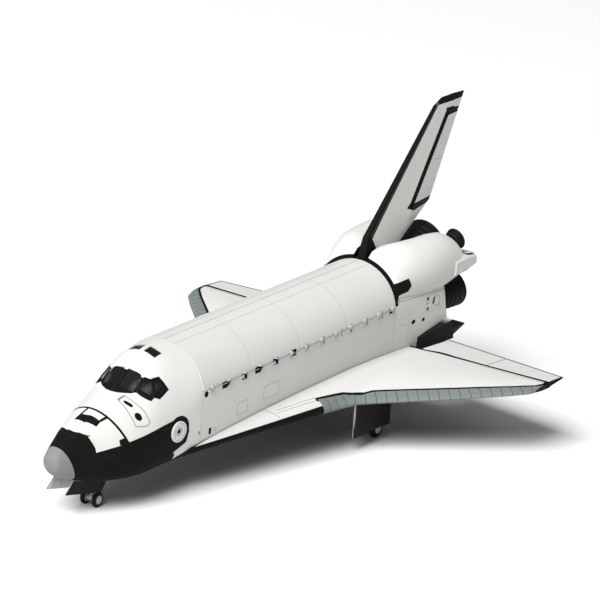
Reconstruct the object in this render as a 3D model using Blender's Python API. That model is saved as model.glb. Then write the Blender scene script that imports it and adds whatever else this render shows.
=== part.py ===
"""Scale model of a space shuttle orbiter, 1:100, standing on its lowered landing gear.

Every piece is drawn in the airframe's own frame, in millimetres: s runs aft (the nose tip is at
s = -5.4), y runs to port (left) and z runs up from the payload bay's centreline. One empty, the
airframe datum, pitches the whole airframe nose down onto its wheels. In the world, +X points forward,
+Y to port and +Z up, and the floor is at z = 0.
"""

import math

import bmesh
import bpy
import numpy as np
from mathutils import Vector

MM = 0.001
GAP = 0.3
# The round half of a hinge nose, and a length that takes a cutter well clear of any piece
NOSE_ANGLES = [math.radians(90 + 22.5 * i) for i in range(9)]
CLEAR = 60.0

# The nose cap's back edge leans: its station is CAP_EDGE less CAP_LEAN times the height
CAP_EDGE = -4.4
CAP_LEAN = 0.39
CAP_TRIES = 60
CAP_SHARES = (0.0, 0.03, 0.07, 0.12, 0.2, 0.33, 0.5, 0.75)

# Stations along the airframe
CABIN_END = 86.4
BAY_END = 271.2
AFT_START = 271.8
BASE_AT_FLOOR = 323.0
BASE_SLANT = 0.25
SLANT_Z = 6.0
SHIELD_THICK = 1.0
SHIELD_INSET = 0.6
BASE_DEPTH = 1.6
HINGE_STATION = 291.85

# Stations of the rings that each skin is drawn through
FORWARD_RINGS = (14, 20, 27, 35.6, 41, 46, 50, 54, 58, 62, 66, 71, 76, 81, CABIN_END)
MODULE_RINGS = (14, 20, 27, 35.6)
CABIN_RINGS = (48.4, 52.4, 57.1, 61.2, 64.6, 69.4, 77.3, CABIN_END + 1)
WINDOW_RINGS = (49.5, 52, 56, 60, 64, 68, 72, 76.5)
BAY_RINGS = (100.0, 180.0, BAY_END)
AFT_RINGS = (284.0, 298.0, 309.0)

# Heights above the payload bay's centreline
SILL_Z = 2.7
CABIN_FLOOR = -19.0
WALL = 1.6
DOOR_WALL = 1.3

# Stance: wheel centres and the nose-down angle on the floor
PITCH = math.radians(3.45)
NOSE_AXLE_S = 30.6
NOSE_WHEEL_R = 4.05
NOSE_WHEEL_W = 2.3
NOSE_TRACK = 7.4
MAIN_AXLE_S = 240.4
MAIN_AXLE_Z = -57.5
MAIN_WHEEL_R = 5.65
MAIN_WHEEL_W = 3.9
MAIN_TRACK = 8.1
MAIN_GEAR_Y = 34.2
NOSE_AXLE_Z = (
    MAIN_AXLE_Z
    + (MAIN_AXLE_S - NOSE_AXLE_S) * math.tan(PITCH)
    - (MAIN_WHEEL_R - NOSE_WHEEL_R) / math.cos(PITCH)
)

NOSE_LEG_TOP = (29.5, 0.0, -20.8)
NOSE_BRACE_TOP = (20.0, 0.0, -21.5)
MAIN_LEG_TOP = (239.4, -27.9)
MAIN_BRACE_TOP = (220.4, -28.8)

# Gear doors hanging open: inner face, thickness, stations along the top edge, and the lower corners
NOSE_DOOR_Y = 5.4
NOSE_DOOR_T = 0.9
NOSE_DOOR_TOP = (7.6, 12.0, 18.0, 26.0, 36.1)
NOSE_DOOR_LOW = ((30.2, -41.5), (1.0, -34.4))
MAIN_DOOR_Y = 44.9
MAIN_DOOR_T = 1.1
MAIN_DOOR_TOP = (205.4, 213.0, 222.0, 232.0, 242.2)
MAIN_DOOR_LOW = ((241.9, -53.2), (205.7, -52.0))

# Wells for the folded gear, as low and high corners (station, y, height)
NOSE_WELL = ((8.8, -5.1, -40.0), (37.0, 5.1, -20.5))
MAIN_WELL = ((206.0, 28.6, -45.0), (248.0, 44.4, -27.6))

# Fuselage sections. Columns: station, half width, height of the widest point, belly, top,
# lower and upper roundness (2 is an ellipse, more is squarer)
FUSELAGE = (
    (-5.4, 0.4, -16.3, -16.7, -15.9, 2.0, 2.0),
    (-4.6, 4.0, -16.4, -20.3, -13.2, 2.4, 2.0),
    (-2.4, 5.8, -17.1, -23.7, -10.7, 2.6, 2.0),
    (6.2, 9.7, -18.2, -28.2, -5.3, 2.9, 2.0),
    (18.9, 15.5, -19.2, -32.1, 0.4, 3.6, 2.0),
    (35.6, 21.9, -18.9, -33.8, 6.1, 4.2, 2.0),
    (46.0, 23.8, -18.0, -34.3, 10.1, 4.2, 2.0),
    (58.0, 24.4, -15.5, -34.1, 20.0, 4.4, 2.0),
    (66.0, 25.0, -13.0, -33.9, 24.2, 4.8, 2.0),
    (76.0, 25.8, -8.0, -33.6, 25.4, 5.6, 2.0),
    (86.4, 26.5, -2.0, -33.4, 25.5, 8.0, 2.0),
    (100.0, 26.6, 0.0, -33.4, 25.5, 10.0, 2.0),
    (271.0, 26.6, 0.0, -33.4, 25.5, 10.0, 2.0),
    (300.0, 27.4, 0.0, -33.4, 25.4, 10.0, 2.0),
    (330.0, 28.6, 0.0, -33.0, 24.4, 10.0, 2.0),
)

# The forward thruster module's side outline, as corners (station, height)
MODULE = ((15.6, -13.6), (33.0, -11.6), (24.2, 12.0), (15.6, 12.0))

# Windshield and overhead panes on the port side: corners (station, degrees round from the side to the top)
PANES = (
    ((46.6, 87.2), (55.6, 87.2), (56.2, 67.6), (48.2, 64.4)),
    ((51.0, 61.2), (56.6, 64.2), (58.6, 54.8), (54.5, 42.6)),
    ((59.6, 53.6), (62.5, 51.2), (64.6, 36.9), (58.4, 36.4), (56.2, 41.6)),
    ((67.2, 87.0), (73.4, 87.0), (73.4, 70.0), (67.2, 70.0)),
)
# The openings are cut from outside the skin to this depth, and the clear plugs sit a little below the skin
PANE_CUT = (2.6, -1.5)
PANE_PLUG = (2.2, 0.35)
PANE_LEAN = 0.35
PANE_MOULDING = 0.8
MM_PER_DEGREE = 0.4
WINDOW_ARC = (2, 14)

# The crew hatch disc: station, height, radius and thickness
HATCH = (68.3, -14.1, 5.7, 0.5)

# The cabin's aft wall: its faces, the station whose section it follows, its inset and its floor
BULKHEAD_S = (84.2, CABIN_END)
BULKHEAD_RING = 85.0
BULKHEAD_INSET = 2.0
BULKHEAD_FLOOR = -18.6

# The payload bay: half widths of the sills' outer and inner edges, the trough's radius, the doors' radii
SILL_OUTER_Y = 26.3
SILL_INNER_Y = 23.0
TROUGH_R = 22.9
DOOR_R = (26.6, 25.5)
DOOR_SPLIT = 0.15
DOOR_START = CABIN_END + 0.6
DOOR_STEPS = 16

# Wing. Columns: y, leading edge station, place of the thickest point along the chord, half thickness,
# mid height, droop of the leading edge
WING = (
    (26.9, 76.0, 0.61, 5.85, -27.55, 0.0),
    (31.0, 101.8, 0.57, 5.80, -27.45, 0.0),
    (36.0, 133.3, 0.50, 5.70, -27.30, 0.6),
    (41.0, 164.9, 0.46, 5.55, -27.10, 1.6),
    (44.5, 186.0, 0.44, 5.45, -27.00, 2.4),
    (48.0, 199.4, 0.42, 5.30, -26.85, 2.5),
    (56.0, 207.9, 0.40, 4.85, -26.60, 2.3),
    (84.0, 235.9, 0.40, 3.40, -25.60, 1.7),
    (108.0, 259.9, 0.40, 2.20, -24.80, 0.6),
    (116.5, 269.6, 0.40, 1.75, -24.50, 0.2),
    (119.0, 277.0, 0.40, 1.30, -24.40, 0.0),
)
TE_AT_CENTRE = 326.9
TE_SWEEP = 0.17733
TE_SHARE = 0.05
TAIL_POWER = 1.6
NOSE_SHARES = (0.0, 0.012, 0.05, 0.12, 0.25, 0.45, 0.7, 1.0)
TAIL_SHARES = (0.4, 0.75, 1.0)

# The leading edge strip: its first station, the inner corners of its back edge, its depth beyond them
STRIP_START = 178.0
STRIP_INNER = ((178.0, 38.4), (197.0, 43.4))
STRIP_DEPTH = 10.0
STRIP_YS = (51.5, 56.0, 84.0, 108.0, 116.5, 119.6)

# Elevons: inner and outer ends in y, on each side
ELEVONS = (("inner", 34.6, 77.2), ("outer", 77.8, 118.4))
HINGE_YS = (34.6, 77.5, 118.4)
COVE_GAP = 0.4
COVE_SEGMENTS = 24
ELEVON_EDGE = 0.3

# Fin side view, as (station, height), and the rudder cut out of it
FIN_LE_BASE = (271.9, 25.9)
FIN_LE_KNEE = (275.2, 37.4)
FIN_LE_TIP = (340.2, 102.4)
FIN_TIP_LEAN = 1.2
FIN_TIP_BACK = (372.0, 106.2)
FIN_ROOT_BACK_S = 311.0
RUDDER_HINGE = ((320.2, 46.4), (354.9, 96.3))
RUDDER_TE = ((342.6, 46.4), (367.3, 96.3))
RUDDER_END_GAPS = (1.2, 1.0)
RUDDER_SLOT = 0.45
FIN_HALF_ROOT = 3.4
FIN_HALF_TIP = 1.25
FIN_EDGE = 0.3
FIN_THICKEST = 0.72
# Heights of the fin's rings, and the radius of its rounded leading edge at each
FIN_RINGS = (
    (25.9, 3.4),
    (31.0, 3.0),
    (37.4, 2.2),
    (46.4, 1.9),
    (62.0, 1.7),
    (80.0, 1.5),
    (96.3, 1.3),
    (102.4, 1.15),
    (106.0, 0.9),
)

# Orbital manoeuvring pod. Columns: station, centre y, centre z, half width, half height
POD = (
    (272.2, 5.6, 6.2, 20.8, 20.6),
    (276.0, 8.4, 11.5, 17.9, 18.9),
    (284.0, 12.6, 15.8, 15.6, 18.0),
    (292.0, 15.8, 17.3, 14.8, 17.2),
    (305.0, 18.2, 17.6, 14.2, 16.9),
    (317.0, 19.0, 17.6, 13.6, 17.0),
    (326.0, 19.2, 17.5, 13.0, 16.0),
    (333.0, 19.4, 16.8, 12.5, 13.4),
    (342.0, 19.6, 16.0, 11.9, 8.8),
)
POD_SEGMENTS = 32
KEEPOUT_START = 262.0
POD_INNER_Y = 4.6
POD_BACK = (332.0, 28.0)
POD_BACK_LEAN = 0.28
# The thruster box behind each pod. Columns: station, inner y, outer y, low, high
STINGER = (
    (324.4, 19.7, 33.1, 9.5, 20.3),
    (340.0, 20.4, 33.0, 10.2, 20.8),
    (347.4, 21.6, 32.6, 11.4, 19.4),
)
STINGER_CORNER = 2.0

# Engines: gimbal (s, y, z), pitch up and yaw outboard in degrees, and where the bell starts along its axis
MAIN_ENGINES = (
    ("upper", (303.8, 0.0, 11.3), 16.0, 0.0, 16.3),
    ("left", (308.3, 13.5, -12.0), 10.0, 3.5, 18.2),
    ("right", (308.3, -13.5, -12.0), 10.0, -3.5, 18.2),
)
OMS_ENGINES = (
    ("left", (319.6, 21.5, 23.2), 15.0, 5.0, 14.4),
    ("right", (319.6, -21.5, 23.2), 15.0, -5.0, 14.4),
)
# Bells: end along the axis, radius at the start, radius at the end, wall
MAIN_BELL = (39.9, 6.2, 11.9, 0.9)
OMS_BELL = (19.0, 4.4, 6.1, 0.7)
BELL_SPACE_R = 12.9
BELL_FLARE = 0.62
BELL_FLOOR = 0.8
BELL_STEPS = 6
BELL_SEGMENTS = {"main": 32, "oms": 24}

# Lower corners of the tail that flare out beside the body flap: station, y, root low, tip low, high
STUB = (
    (297.0, 26.6, -32.0, -30.0, -22.0),
    (299.0, 28.6, -33.0, -29.0, -21.2),
    (310.0, 31.0, -33.2, -28.6, -18.8),
    (BASE_AT_FLOOR - 0.5, 32.6, -32.6, -28.2, -16.0),
)
STUB_ROOT_Y = 20.0
SLANTED_FROM = 320.0

# Body flap, standing a little up
FLAP_HINGE = (330.8, -27.8)
FLAP_UP = math.radians(11.0)
FLAP_CHORD = 16.8
FLAP_NOSE_R = 2.5
FLAP_HALF_SPAN = 28.1
FLAP_EDGE = (-0.9, -0.2)

DOOR_HINGE_Y = 27.45
DOOR_HINGE_Z = 2.85
LUG_R = 0.55
LUG_W = 1.3
LUG_COUNT = 13
LUG_MARGIN = 6.0
# Where the hinge eyes' feet root in the sill and in the door: y, and the near and far heights
SILL_FOOT = (25.9, (2.3, 1.4))
DOOR_FOOT = (25.6, (3.4, 4.3))

# Struts: radius, then the axle barrel's radius, width and bore
NOSE_STRUT = (1.1, 1.5, 4.0, 0.95)
MAIN_STRUT = (1.7, 2.2, 3.6, 1.35)
BRACE_JOINT = 0.42
BRACE_SHARE = 0.6
NOSE_AXLE_R = 0.6
MAIN_AXLE_R = 1.0
# Wheels: the tyre shoulder's rounding and the hub's dish, as shares of the width and the radius
TYRE_SHOULDER = 0.28
HUB_SHARE = 0.58
DISH_SHARE = 0.52
DISH_DEPTH = 0.22
WHEEL_SEGMENTS = 28


def material(name, colour, roughness, metallic=0.0):
    """A plain Principled material."""
    made = bpy.data.materials.new(name)
    made.use_nodes = True
    shader = made.node_tree.nodes["Principled BSDF"]
    shader.inputs["Base Color"].default_value = (*colour, 1.0)
    shader.inputs["Roughness"].default_value = roughness
    shader.inputs["Metallic"].default_value = metallic
    return made


def clear_scene():
    for old in list(bpy.data.objects):
        bpy.data.objects.remove(old)


def place_datum():
    """The empty that carries the airframe: pitched nose down, with the main wheels touching the floor."""
    datum = bpy.data.objects.new("airframe_datum", None)
    bpy.context.scene.collection.objects.link(datum)
    drop = MAIN_AXLE_S * math.sin(PITCH) + MAIN_AXLE_Z * math.cos(PITCH)
    nose_x = -FUSELAGE[0][0] * math.cos(PITCH) + FUSELAGE[0][2] * math.sin(PITCH)
    tail_x = -FIN_TIP_BACK[0] * math.cos(PITCH) + FIN_TIP_BACK[1] * math.sin(PITCH)
    datum.rotation_euler = (0.0, PITCH, 0.0)
    datum.location = (-(nose_x + tail_x) / 2 * MM, 0.0, (MAIN_WHEEL_R - drop) * MM)
    return datum


clear_scene()
DATUM = place_datum()
WHITE = material("white_paint", (0.82, 0.82, 0.80), 0.45)
BLACK = material("black_paint", (0.025, 0.025, 0.024), 0.5)
GREY = material("grey_paint", (0.30, 0.32, 0.31), 0.45)
GLASS = material("smoked_glass", (0.02, 0.025, 0.03), 0.1)
SILVER = material("silver_paint", (0.55, 0.55, 0.54), 0.35, 0.7)
TYRE = material("tyre_paint", (0.02, 0.02, 0.02), 0.7)


def point(s, y, z):
    """An airframe point (mm aft, mm to port, mm up) in the datum's axes, in metres."""
    return Vector((-s, y, z)) * MM


def finish(name, mesh_maker, paint, helper=False):
    """Turns a bmesh into a named object under the datum, with faces pointing out."""
    bmesh.ops.remove_doubles(mesh_maker, verts=mesh_maker.verts, dist=1e-7)
    bmesh.ops.recalc_face_normals(mesh_maker, faces=mesh_maker.faces)
    mesh = bpy.data.meshes.new(name)
    mesh_maker.to_mesh(mesh)
    mesh_maker.free()
    mesh.shade_smooth()
    mesh.set_sharp_from_angle(angle=math.radians(35))
    mesh.materials.append(paint)
    made = bpy.data.objects.new(name, mesh)
    bpy.context.scene.collection.objects.link(made)
    made.parent = DATUM
    if helper:
        made.hide_render = True
        made.display_type = "WIRE"
    return made


def add_loft(maker, rings):
    """Skins equal rings of points into a closed tube with filled ends."""
    rows = [[maker.verts.new(point(*p)) for p in ring] for ring in rings]
    for near, far in zip(rows, rows[1:]):
        for i in range(len(near)):
            j = (i + 1) % len(near)
            maker.faces.new((near[i], near[j], far[j], far[i]))
    maker.faces.new(rows[0])
    maker.faces.new(rows[-1])


def skin_rings(maker, rings):
    """Skins rings of points into a closed turned shape whose first and last rings are single points."""
    rows = [[maker.verts.new(point(*p)) for p in ring] for ring in rings]
    count = max(len(row) for row in rows)
    for near, far in zip(rows, rows[1:]):
        for i in range(count):
            j = (i + 1) % count
            if len(near) == 1:
                maker.faces.new((near[0], far[j], far[i]))
            elif len(far) == 1:
                maker.faces.new((near[i], near[j], far[0]))
            else:
                maker.faces.new((near[i], near[j], far[j], far[i]))


def loft(name, rings, paint, helper=False):
    maker = bmesh.new()
    add_loft(maker, rings)
    return finish(name, maker, paint, helper)


def boolean(target, other, operation):
    """Adds an exact Boolean of target with a helper object."""
    change = target.modifiers.new(operation.lower() + "_" + other.name, "BOOLEAN")
    change.operation = operation
    change.object = other
    return target


def box(name, low, high, paint=None, helper=True):
    """A box between two airframe corners (s, y, z)."""
    corners = ((low[1], low[2]), (high[1], low[2]), (high[1], high[2]), (low[1], high[2]))
    rings = [[(s, y, z) for y, z in corners] for s in (low[0], high[0])]
    return loft(name, rings, paint or WHITE, helper)


def grow_outline(corners, by):
    """An outline moved outward by a distance, with its corners kept sharp."""
    points = np.array(corners, float)
    following = np.roll(points, -1, axis=0)
    area = np.sum(points[:, 0] * following[:, 1] - following[:, 0] * points[:, 1])
    along = following - points
    out = np.stack((along[:, 1], -along[:, 0]), 1) / np.linalg.norm(along, axis=1)[:, None]
    out *= math.copysign(1.0, area)
    grown = []
    for k, here in enumerate(points):
        before, after = out[k - 1], out[k]
        grown.append(tuple(here + by * (before + after) / (1 + before @ after)))
    return grown


def side_prism(name, outline, y_range):
    """A helper with a side-view outline (s, z), from one y to another."""
    return loft(name, [[(s, y, z) for s, z in outline] for y in y_range], WHITE, helper=True)


def smooth_row(table, at):
    """The table's row at a place, by cubic steps whose slopes never overshoot."""
    rows = np.array(table, float)
    x = rows[:, 0]
    step = np.diff(x)
    rise = np.diff(rows[:, 1:], axis=0) / step[:, None]
    slope = np.vstack([rise[:1], (rise[:-1] + rise[1:]) / 2, rise[-1:]])
    flat = rise[:-1] * rise[1:] <= 0
    slope[1:-1][flat] = 0.0
    limit = 3 * np.minimum(np.abs(np.vstack([rise[:1], rise])), np.abs(np.vstack([rise, rise[-1:]])))
    slope = np.clip(slope, -limit, limit)
    at = min(max(at, x[0]), x[-1])
    k = min(int(np.searchsorted(x, at, side="right")) - 1, len(x) - 2)
    t = (at - x[k]) / step[k]
    start, end = rows[k, 1:], rows[k + 1, 1:]
    ease = t * t * (3 - 2 * t)
    return (
        start
        + (end - start) * ease
        + step[k] * (slope[k] * t * (1 - t) ** 2 - slope[k + 1] * t * t * (1 - t))
    )


def squircle(angle, power):
    """Cosine and sine with both raised to 2/power, which squares up an ellipse."""
    c, s = math.cos(angle), math.sin(angle)
    return (
        math.copysign(abs(c) ** (2 / power), c),
        math.copysign(abs(s) ** (2 / power), s),
    )


def fuselage_point(s, angle, shrink=0.0, lift_floor=None):
    """(y, z) on the fuselage skin at a station and an angle from the port side, moved inward by shrink."""
    half, widest, belly, top, low_power, high_power = smooth_row(FUSELAGE, s)
    floor = belly + shrink if lift_floor is None else lift_floor
    c, k = squircle(angle, high_power if math.sin(angle) >= 0 else low_power)
    height = (top - shrink - widest) if k >= 0 else (widest - floor)
    return (half - shrink) * c, widest + height * k


def fuselage_ring(s, count=32, shrink=0.0, lift_floor=None, slant=0.0):
    """One closed ring of the fuselage; slant leans the ring aft towards the belly."""
    ring = []
    for i in range(count):
        y, z = fuselage_point(s, 2 * math.pi * i / count, shrink, lift_floor)
        ring.append((s - slant * (z + SLANT_Z), y, z))
    return ring


def fuselage_loft(name, stations, paint, helper=False, **options):
    return loft(name, [fuselage_ring(s, **options) for s in stations], paint, helper)


# The nose cap, forward fuselage and forward thruster module


def pane_prism(corners, side, low, high, margin=0.0):
    """The rings of a window plug: its corners on the skin, pushed in by low and out to high."""
    middle = np.mean(corners, axis=0)
    rings = []
    for depth in (low, high):
        ring = []
        for s, degrees in corners:
            inward = np.array((s, degrees)) - middle
            away = math.hypot(inward[0], inward[1] * MM_PER_DEGREE)
            s_in, deg_in = middle + inward * (1 - margin / away)
            y, z = fuselage_point(s_in, math.radians(deg_in), depth)
            ring.append((s_in + PANE_LEAN * depth, side * y, z))
        rings.append(ring)
    return rings


def make_panes(name, low, high, margin):
    """All the window plugs of both sides in one helper."""
    maker = bmesh.new()
    for side in (1, -1):
        for corners in PANES:
            add_loft(maker, pane_prism(corners, side, low, high, margin))
    return finish(name, maker, GLASS, helper=True)


def belly_z(s, y):
    """Height of the fuselage's underside at a distance from the centreline."""
    half, widest, belly, _, low_power, _ = smooth_row(FUSELAGE, s)
    return widest - (widest - belly) * (1 - (y / half) ** low_power) ** (1 / low_power)


def leaning_ring(edge, count):
    """The fuselage ring in the leaning plane of the nose cap's back edge."""
    ring = []
    for i in range(count):
        angle = 2 * math.pi * i / count
        s = edge
        for _ in range(CAP_TRIES):
            y, z = fuselage_point(s, angle)
            s += 0.5 * (edge - CAP_LEAN * z - s)
        ring.append((s, y, z))
    return ring


def ring_between(start, ring, share):
    """A ring on the skin, partway from the station start to a leaning ring."""
    made = []
    for i, (s_edge, _, _) in enumerate(ring):
        s = start + share * (s_edge - start)
        y, z = fuselage_point(s, 2 * math.pi * i / len(ring))
        made.append((s, y, z))
    return made


def make_forward_fuselage():
    edge = leaning_ring(CAP_EDGE, 32)
    tip = FUSELAGE[0][0]
    cap = loft("nose_cap", [ring_between(tip, edge, share) for share in CAP_SHARES] + [edge], GREY)

    edge = leaning_ring(CAP_EDGE + GAP * math.hypot(1, CAP_LEAN), 40)
    rings = [edge] + [ring_between(FORWARD_RINGS[0], edge, share) for share in (0.72, 0.4)]
    body = loft("forward_fuselage", rings + [fuselage_ring(s, 40) for s in FORWARD_RINGS], BLACK)
    cabin = fuselage_loft(
        "cabin_hollow",
        CABIN_RINGS,
        WHITE,
        helper=True,
        shrink=WALL,
        lift_floor=CABIN_FLOOR,
        count=32,
    )
    boolean(body, cabin, "DIFFERENCE")
    boolean(body, make_panes("pane_cutters", *PANE_CUT, 0.0), "DIFFERENCE")
    boolean(body, box("nose_well", *NOSE_WELL), "DIFFERENCE")
    module = fuselage_loft("forward_thruster_module", MODULE_RINGS, WHITE, count=40)
    boolean(module, side_prism("module_limits", MODULE, (-CLEAR, CLEAR)), "INTERSECT")
    pocket = side_prism("module_pocket", grow_outline(MODULE, GAP), (-CLEAR, CLEAR))
    boolean(body, pocket, "DIFFERENCE")
    return cap, body, module


def make_windows():
    """One clear moulding inside the cabin roof whose panes fill the window openings."""
    outer = [fuselage_ring(s, 32, shrink=WALL + GAP) for s in WINDOW_RINGS]
    inner = [fuselage_ring(s, 32, shrink=WALL + GAP + PANE_MOULDING) for s in WINDOW_RINGS]
    first, last = WINDOW_ARC
    rings = []
    for out, inn in zip(outer, inner):
        rings.append(out[first : last + 1] + inn[first : last + 1][::-1])
    glass = loft("cabin_windows", rings, GLASS)
    boolean(glass, make_panes("pane_plugs", *PANE_PLUG, GAP), "UNION")
    return glass


def make_hatch():
    """The round crew hatch, a thin disc seated on the port side of the cabin."""
    centre_s, centre_z, radius, thick = HATCH
    rings = []
    for proud in (GAP, GAP + thick):
        ring = []
        for i in range(24):
            a = 2 * math.pi * i / 24
            s, z = centre_s + radius * math.cos(a), centre_z + radius * math.sin(a)
            ring.append((s, skin_y(s, z) + proud, z))
        rings.append(ring)
    return loft("crew_hatch", rings, WHITE)


def skin_y(s, z):
    """The fuselage's half width at a height."""
    half, widest, belly, top, low_power, high_power = smooth_row(FUSELAGE, s)
    if z >= widest:
        share, power = (z - widest) / (top - widest), high_power
    else:
        share, power = (widest - z) / (widest - belly), low_power
    return half * max(0.0, 1 - share**power) ** (1 / power)


def make_bulkhead():
    """The cabin's aft wall, set into the open end of the forward fuselage."""
    ring = [
        [(s, y, z) for _, y, z in fuselage_ring(BULKHEAD_RING, 32, BULKHEAD_INSET, BULKHEAD_FLOOR)]
        for s in BULKHEAD_S
    ]
    return loft("cabin_bulkhead", ring, WHITE)


# The payload bay: a trough with sills, and its two doors


def hinge_lugs(name, side, offset, turn, root_y, root_z):
    """A row of small round hinge eyes, each on a foot rooted in the skin: turn 1 hangs below, -1 above."""
    eye = []
    for i in range(5):
        a = math.radians(45 * i)
        eye.append((DOOR_HINGE_Y + LUG_R * math.cos(a), DOOR_HINGE_Z + turn * LUG_R * math.sin(a)))
    near, far = root_z
    neck = DOOR_HINGE_Y - LUG_R
    outline = [(root_y, far), (DOOR_HINGE_Y + LUG_R, far)] + eye + [(neck, near), (root_y, near)]
    maker = bmesh.new()
    pitch = (BAY_END - CABIN_END - 2 * LUG_MARGIN) / (LUG_COUNT - 1)
    for k in range(LUG_COUNT):
        s = CABIN_END + LUG_MARGIN + k * pitch + offset
        add_loft(maker, [[(at, side * y, z) for y, z in outline] for at in (s, s + LUG_W)])
    return finish(name, maker, WHITE, helper=True)


def make_mid_fuselage():
    """The bay's lower half: outer skin down round the belly, and a round trough between flat sills."""
    rings = []
    for s in (CABIN_END + GAP,) + BAY_RINGS:
        outer = []
        for i in range(16):
            a = -math.pi * i / 15
            outer.append(fuselage_point(s, a))
        port = [(SILL_OUTER_Y, SILL_Z)] + outer + [(-SILL_OUTER_Y, SILL_Z)]
        trough = [(-SILL_INNER_Y, SILL_Z)]
        for i in range(15):
            a = math.pi + math.pi * i / 14
            trough.append((TROUGH_R * math.cos(a), TROUGH_R * math.sin(a)))
        trough.append((SILL_INNER_Y, SILL_Z))
        rings.append([(s, y, z) for y, z in port + trough])
    body = loft("mid_fuselage", rings, WHITE)
    for side, label in ((1, "left"), (-1, "right")):
        lugs = hinge_lugs("sill_lugs_" + label, side, 0.0, 1, *SILL_FOOT)
        boolean(body, lugs, "UNION")
    return body


def make_bay_door(side, label):
    """One payload bay door, a curved shell from its sill to the centreline."""
    wide, tall = DOOR_R
    low = math.asin((SILL_Z + GAP) / tall)
    high = math.acos(DOOR_SPLIT / wide)
    turn = [low + (high - low) * i / DOOR_STEPS for i in range(DOOR_STEPS + 1)]
    ring = [(wide * math.cos(a), tall * math.sin(a)) for a in turn]
    for a in turn[::-1]:
        y = max(DOOR_SPLIT, (wide - DOOR_WALL) * math.cos(a))
        ring.append((y, max(SILL_Z + GAP, (tall - DOOR_WALL) * math.sin(a))))
    rings = [[(s, side * y, z) for y, z in ring] for s in (DOOR_START,) + BAY_RINGS[1:]]
    door = loft("payload_door_" + label, rings, WHITE)
    lugs = hinge_lugs("door_lugs_" + label, side, LUG_W + GAP, -1, *DOOR_FOOT)
    return boolean(door, lugs, "UNION")


# The aft fuselage, its base, the pods and the body flap


def make_aft_fuselage():
    rings = [fuselage_ring(s, 40) for s in (AFT_START,) + AFT_RINGS]
    rings.append(fuselage_ring(BASE_AT_FLOOR, 40, slant=BASE_SLANT))
    body = loft("aft_fuselage", rings, WHITE)
    for side, label in ((1, "left"), (-1, "right")):
        stub = []
        for s, y, root_low, tip_low, high in STUB:
            slant = BASE_SLANT if s > SLANTED_FROM else 0.0
            corners = ((STUB_ROOT_Y, root_low), (y, tip_low), (y, high), (STUB_ROOT_Y, high))
            stub.append([(s - slant * (b + SLANT_Z), side * a, b) for a, b in corners])
        boolean(body, loft("stub_" + label, stub, BLACK, helper=True), "UNION")
    return boolean(body, flap_cove("flap_cove_body"), "DIFFERENCE")


def flap_cove(name):
    """The space that the body flap's round nose turns in, open below and to the rear."""
    s0, z0 = FLAP_HINGE
    radius = FLAP_NOSE_R + COVE_GAP
    ring = [(s0 + radius * math.cos(a), z0 + radius * math.sin(a)) for a in NOSE_ANGLES[:7]]
    ring += [(ring[-1][0], z0 - CLEAR), (s0 + CLEAR, z0 - CLEAR), (s0 + CLEAR, z0 + radius)]
    return side_prism(name, ring, (-CLEAR, CLEAR))


def bell_space(name):
    """The round room that the pods leave for the upper engine."""
    _, gimbal, pitch, _, start = MAIN_ENGINES[0]
    up = math.radians(pitch)
    along = Vector((math.cos(up), 0.0, math.sin(up)))
    ends = [Vector(gimbal) + along * at for at in (start - BELL_SPACE_R, start + CLEAR)]
    return loft(name, tube_rings(ends[0], ends[1], BELL_SPACE_R, 28), WHITE, helper=True)


def make_base():
    """The heat shield that closes the tail behind the aft fuselage."""
    rings = []
    for back in (GAP, GAP + SHIELD_THICK):
        ring = fuselage_ring(BASE_AT_FLOOR, 40, shrink=SHIELD_INSET, slant=BASE_SLANT)
        rings.append([(s + back, y, z) for s, y, z in ring])
    shield = loft("base_heat_shield", rings, BLACK)
    return boolean(shield, flap_cove("flap_cove_shield"), "DIFFERENCE")


def make_pod(side, label):
    turn = [2 * math.pi * i / POD_SEGMENTS for i in range(POD_SEGMENTS)]
    rings = []
    for s, y0, z0, half, tall in POD:
        rings.append([(s, side * (y0 + half * math.cos(a)), z0 + tall * math.sin(a)) for a in turn])
    pod = loft("oms_pod_" + label, rings, WHITE)
    s0, z0 = POD_BACK
    lean = POD_BACK_LEAN
    behind = [(s0 + lean * (z0 - z), z) for z in (-CLEAR, CLEAR)]
    behind += [(s0 + CLEAR, CLEAR), (s0 + CLEAR, -CLEAR)]
    boolean(pod, side_prism("pod_back_" + label, behind, (-CLEAR, CLEAR)), "DIFFERENCE")
    stinger = []
    for s, y1, y2, z1, z2 in STINGER:
        c = STINGER_CORNER
        outline = ((y1 + c, z1), (y2 - c, z1), (y2, z1 + c), (y2, z2 - c))
        outline += ((y2 - c, z2), (y1 + c, z2), (y1, z2 - c), (y1, z1 + c))
        stinger.append([(s, side * y, z) for y, z in outline])
    boolean(pod, loft("stinger_" + label, stinger, WHITE, helper=True), "UNION")
    inboard = sorted((side * POD_INNER_Y, side * -CLEAR))
    inner = box("pod_inner_" + label, (s0 - 2 * CLEAR, inboard[0], -CLEAR), (s0 + CLEAR, inboard[1], CLEAR))
    boolean(pod, inner, "DIFFERENCE")
    boolean(pod, bell_space("bell_space_" + label), "DIFFERENCE")
    rings = [fuselage_ring(s, 40, shrink=-GAP) for s in (KEEPOUT_START,) + AFT_RINGS]
    base = fuselage_ring(BASE_AT_FLOOR, 40, shrink=-GAP, slant=BASE_SLANT)
    rings.append([(s + BASE_DEPTH, y, z) for s, y, z in base])
    body = loft("aft_keepout_" + label, rings, WHITE, helper=True)
    return boolean(pod, body, "DIFFERENCE")


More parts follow.
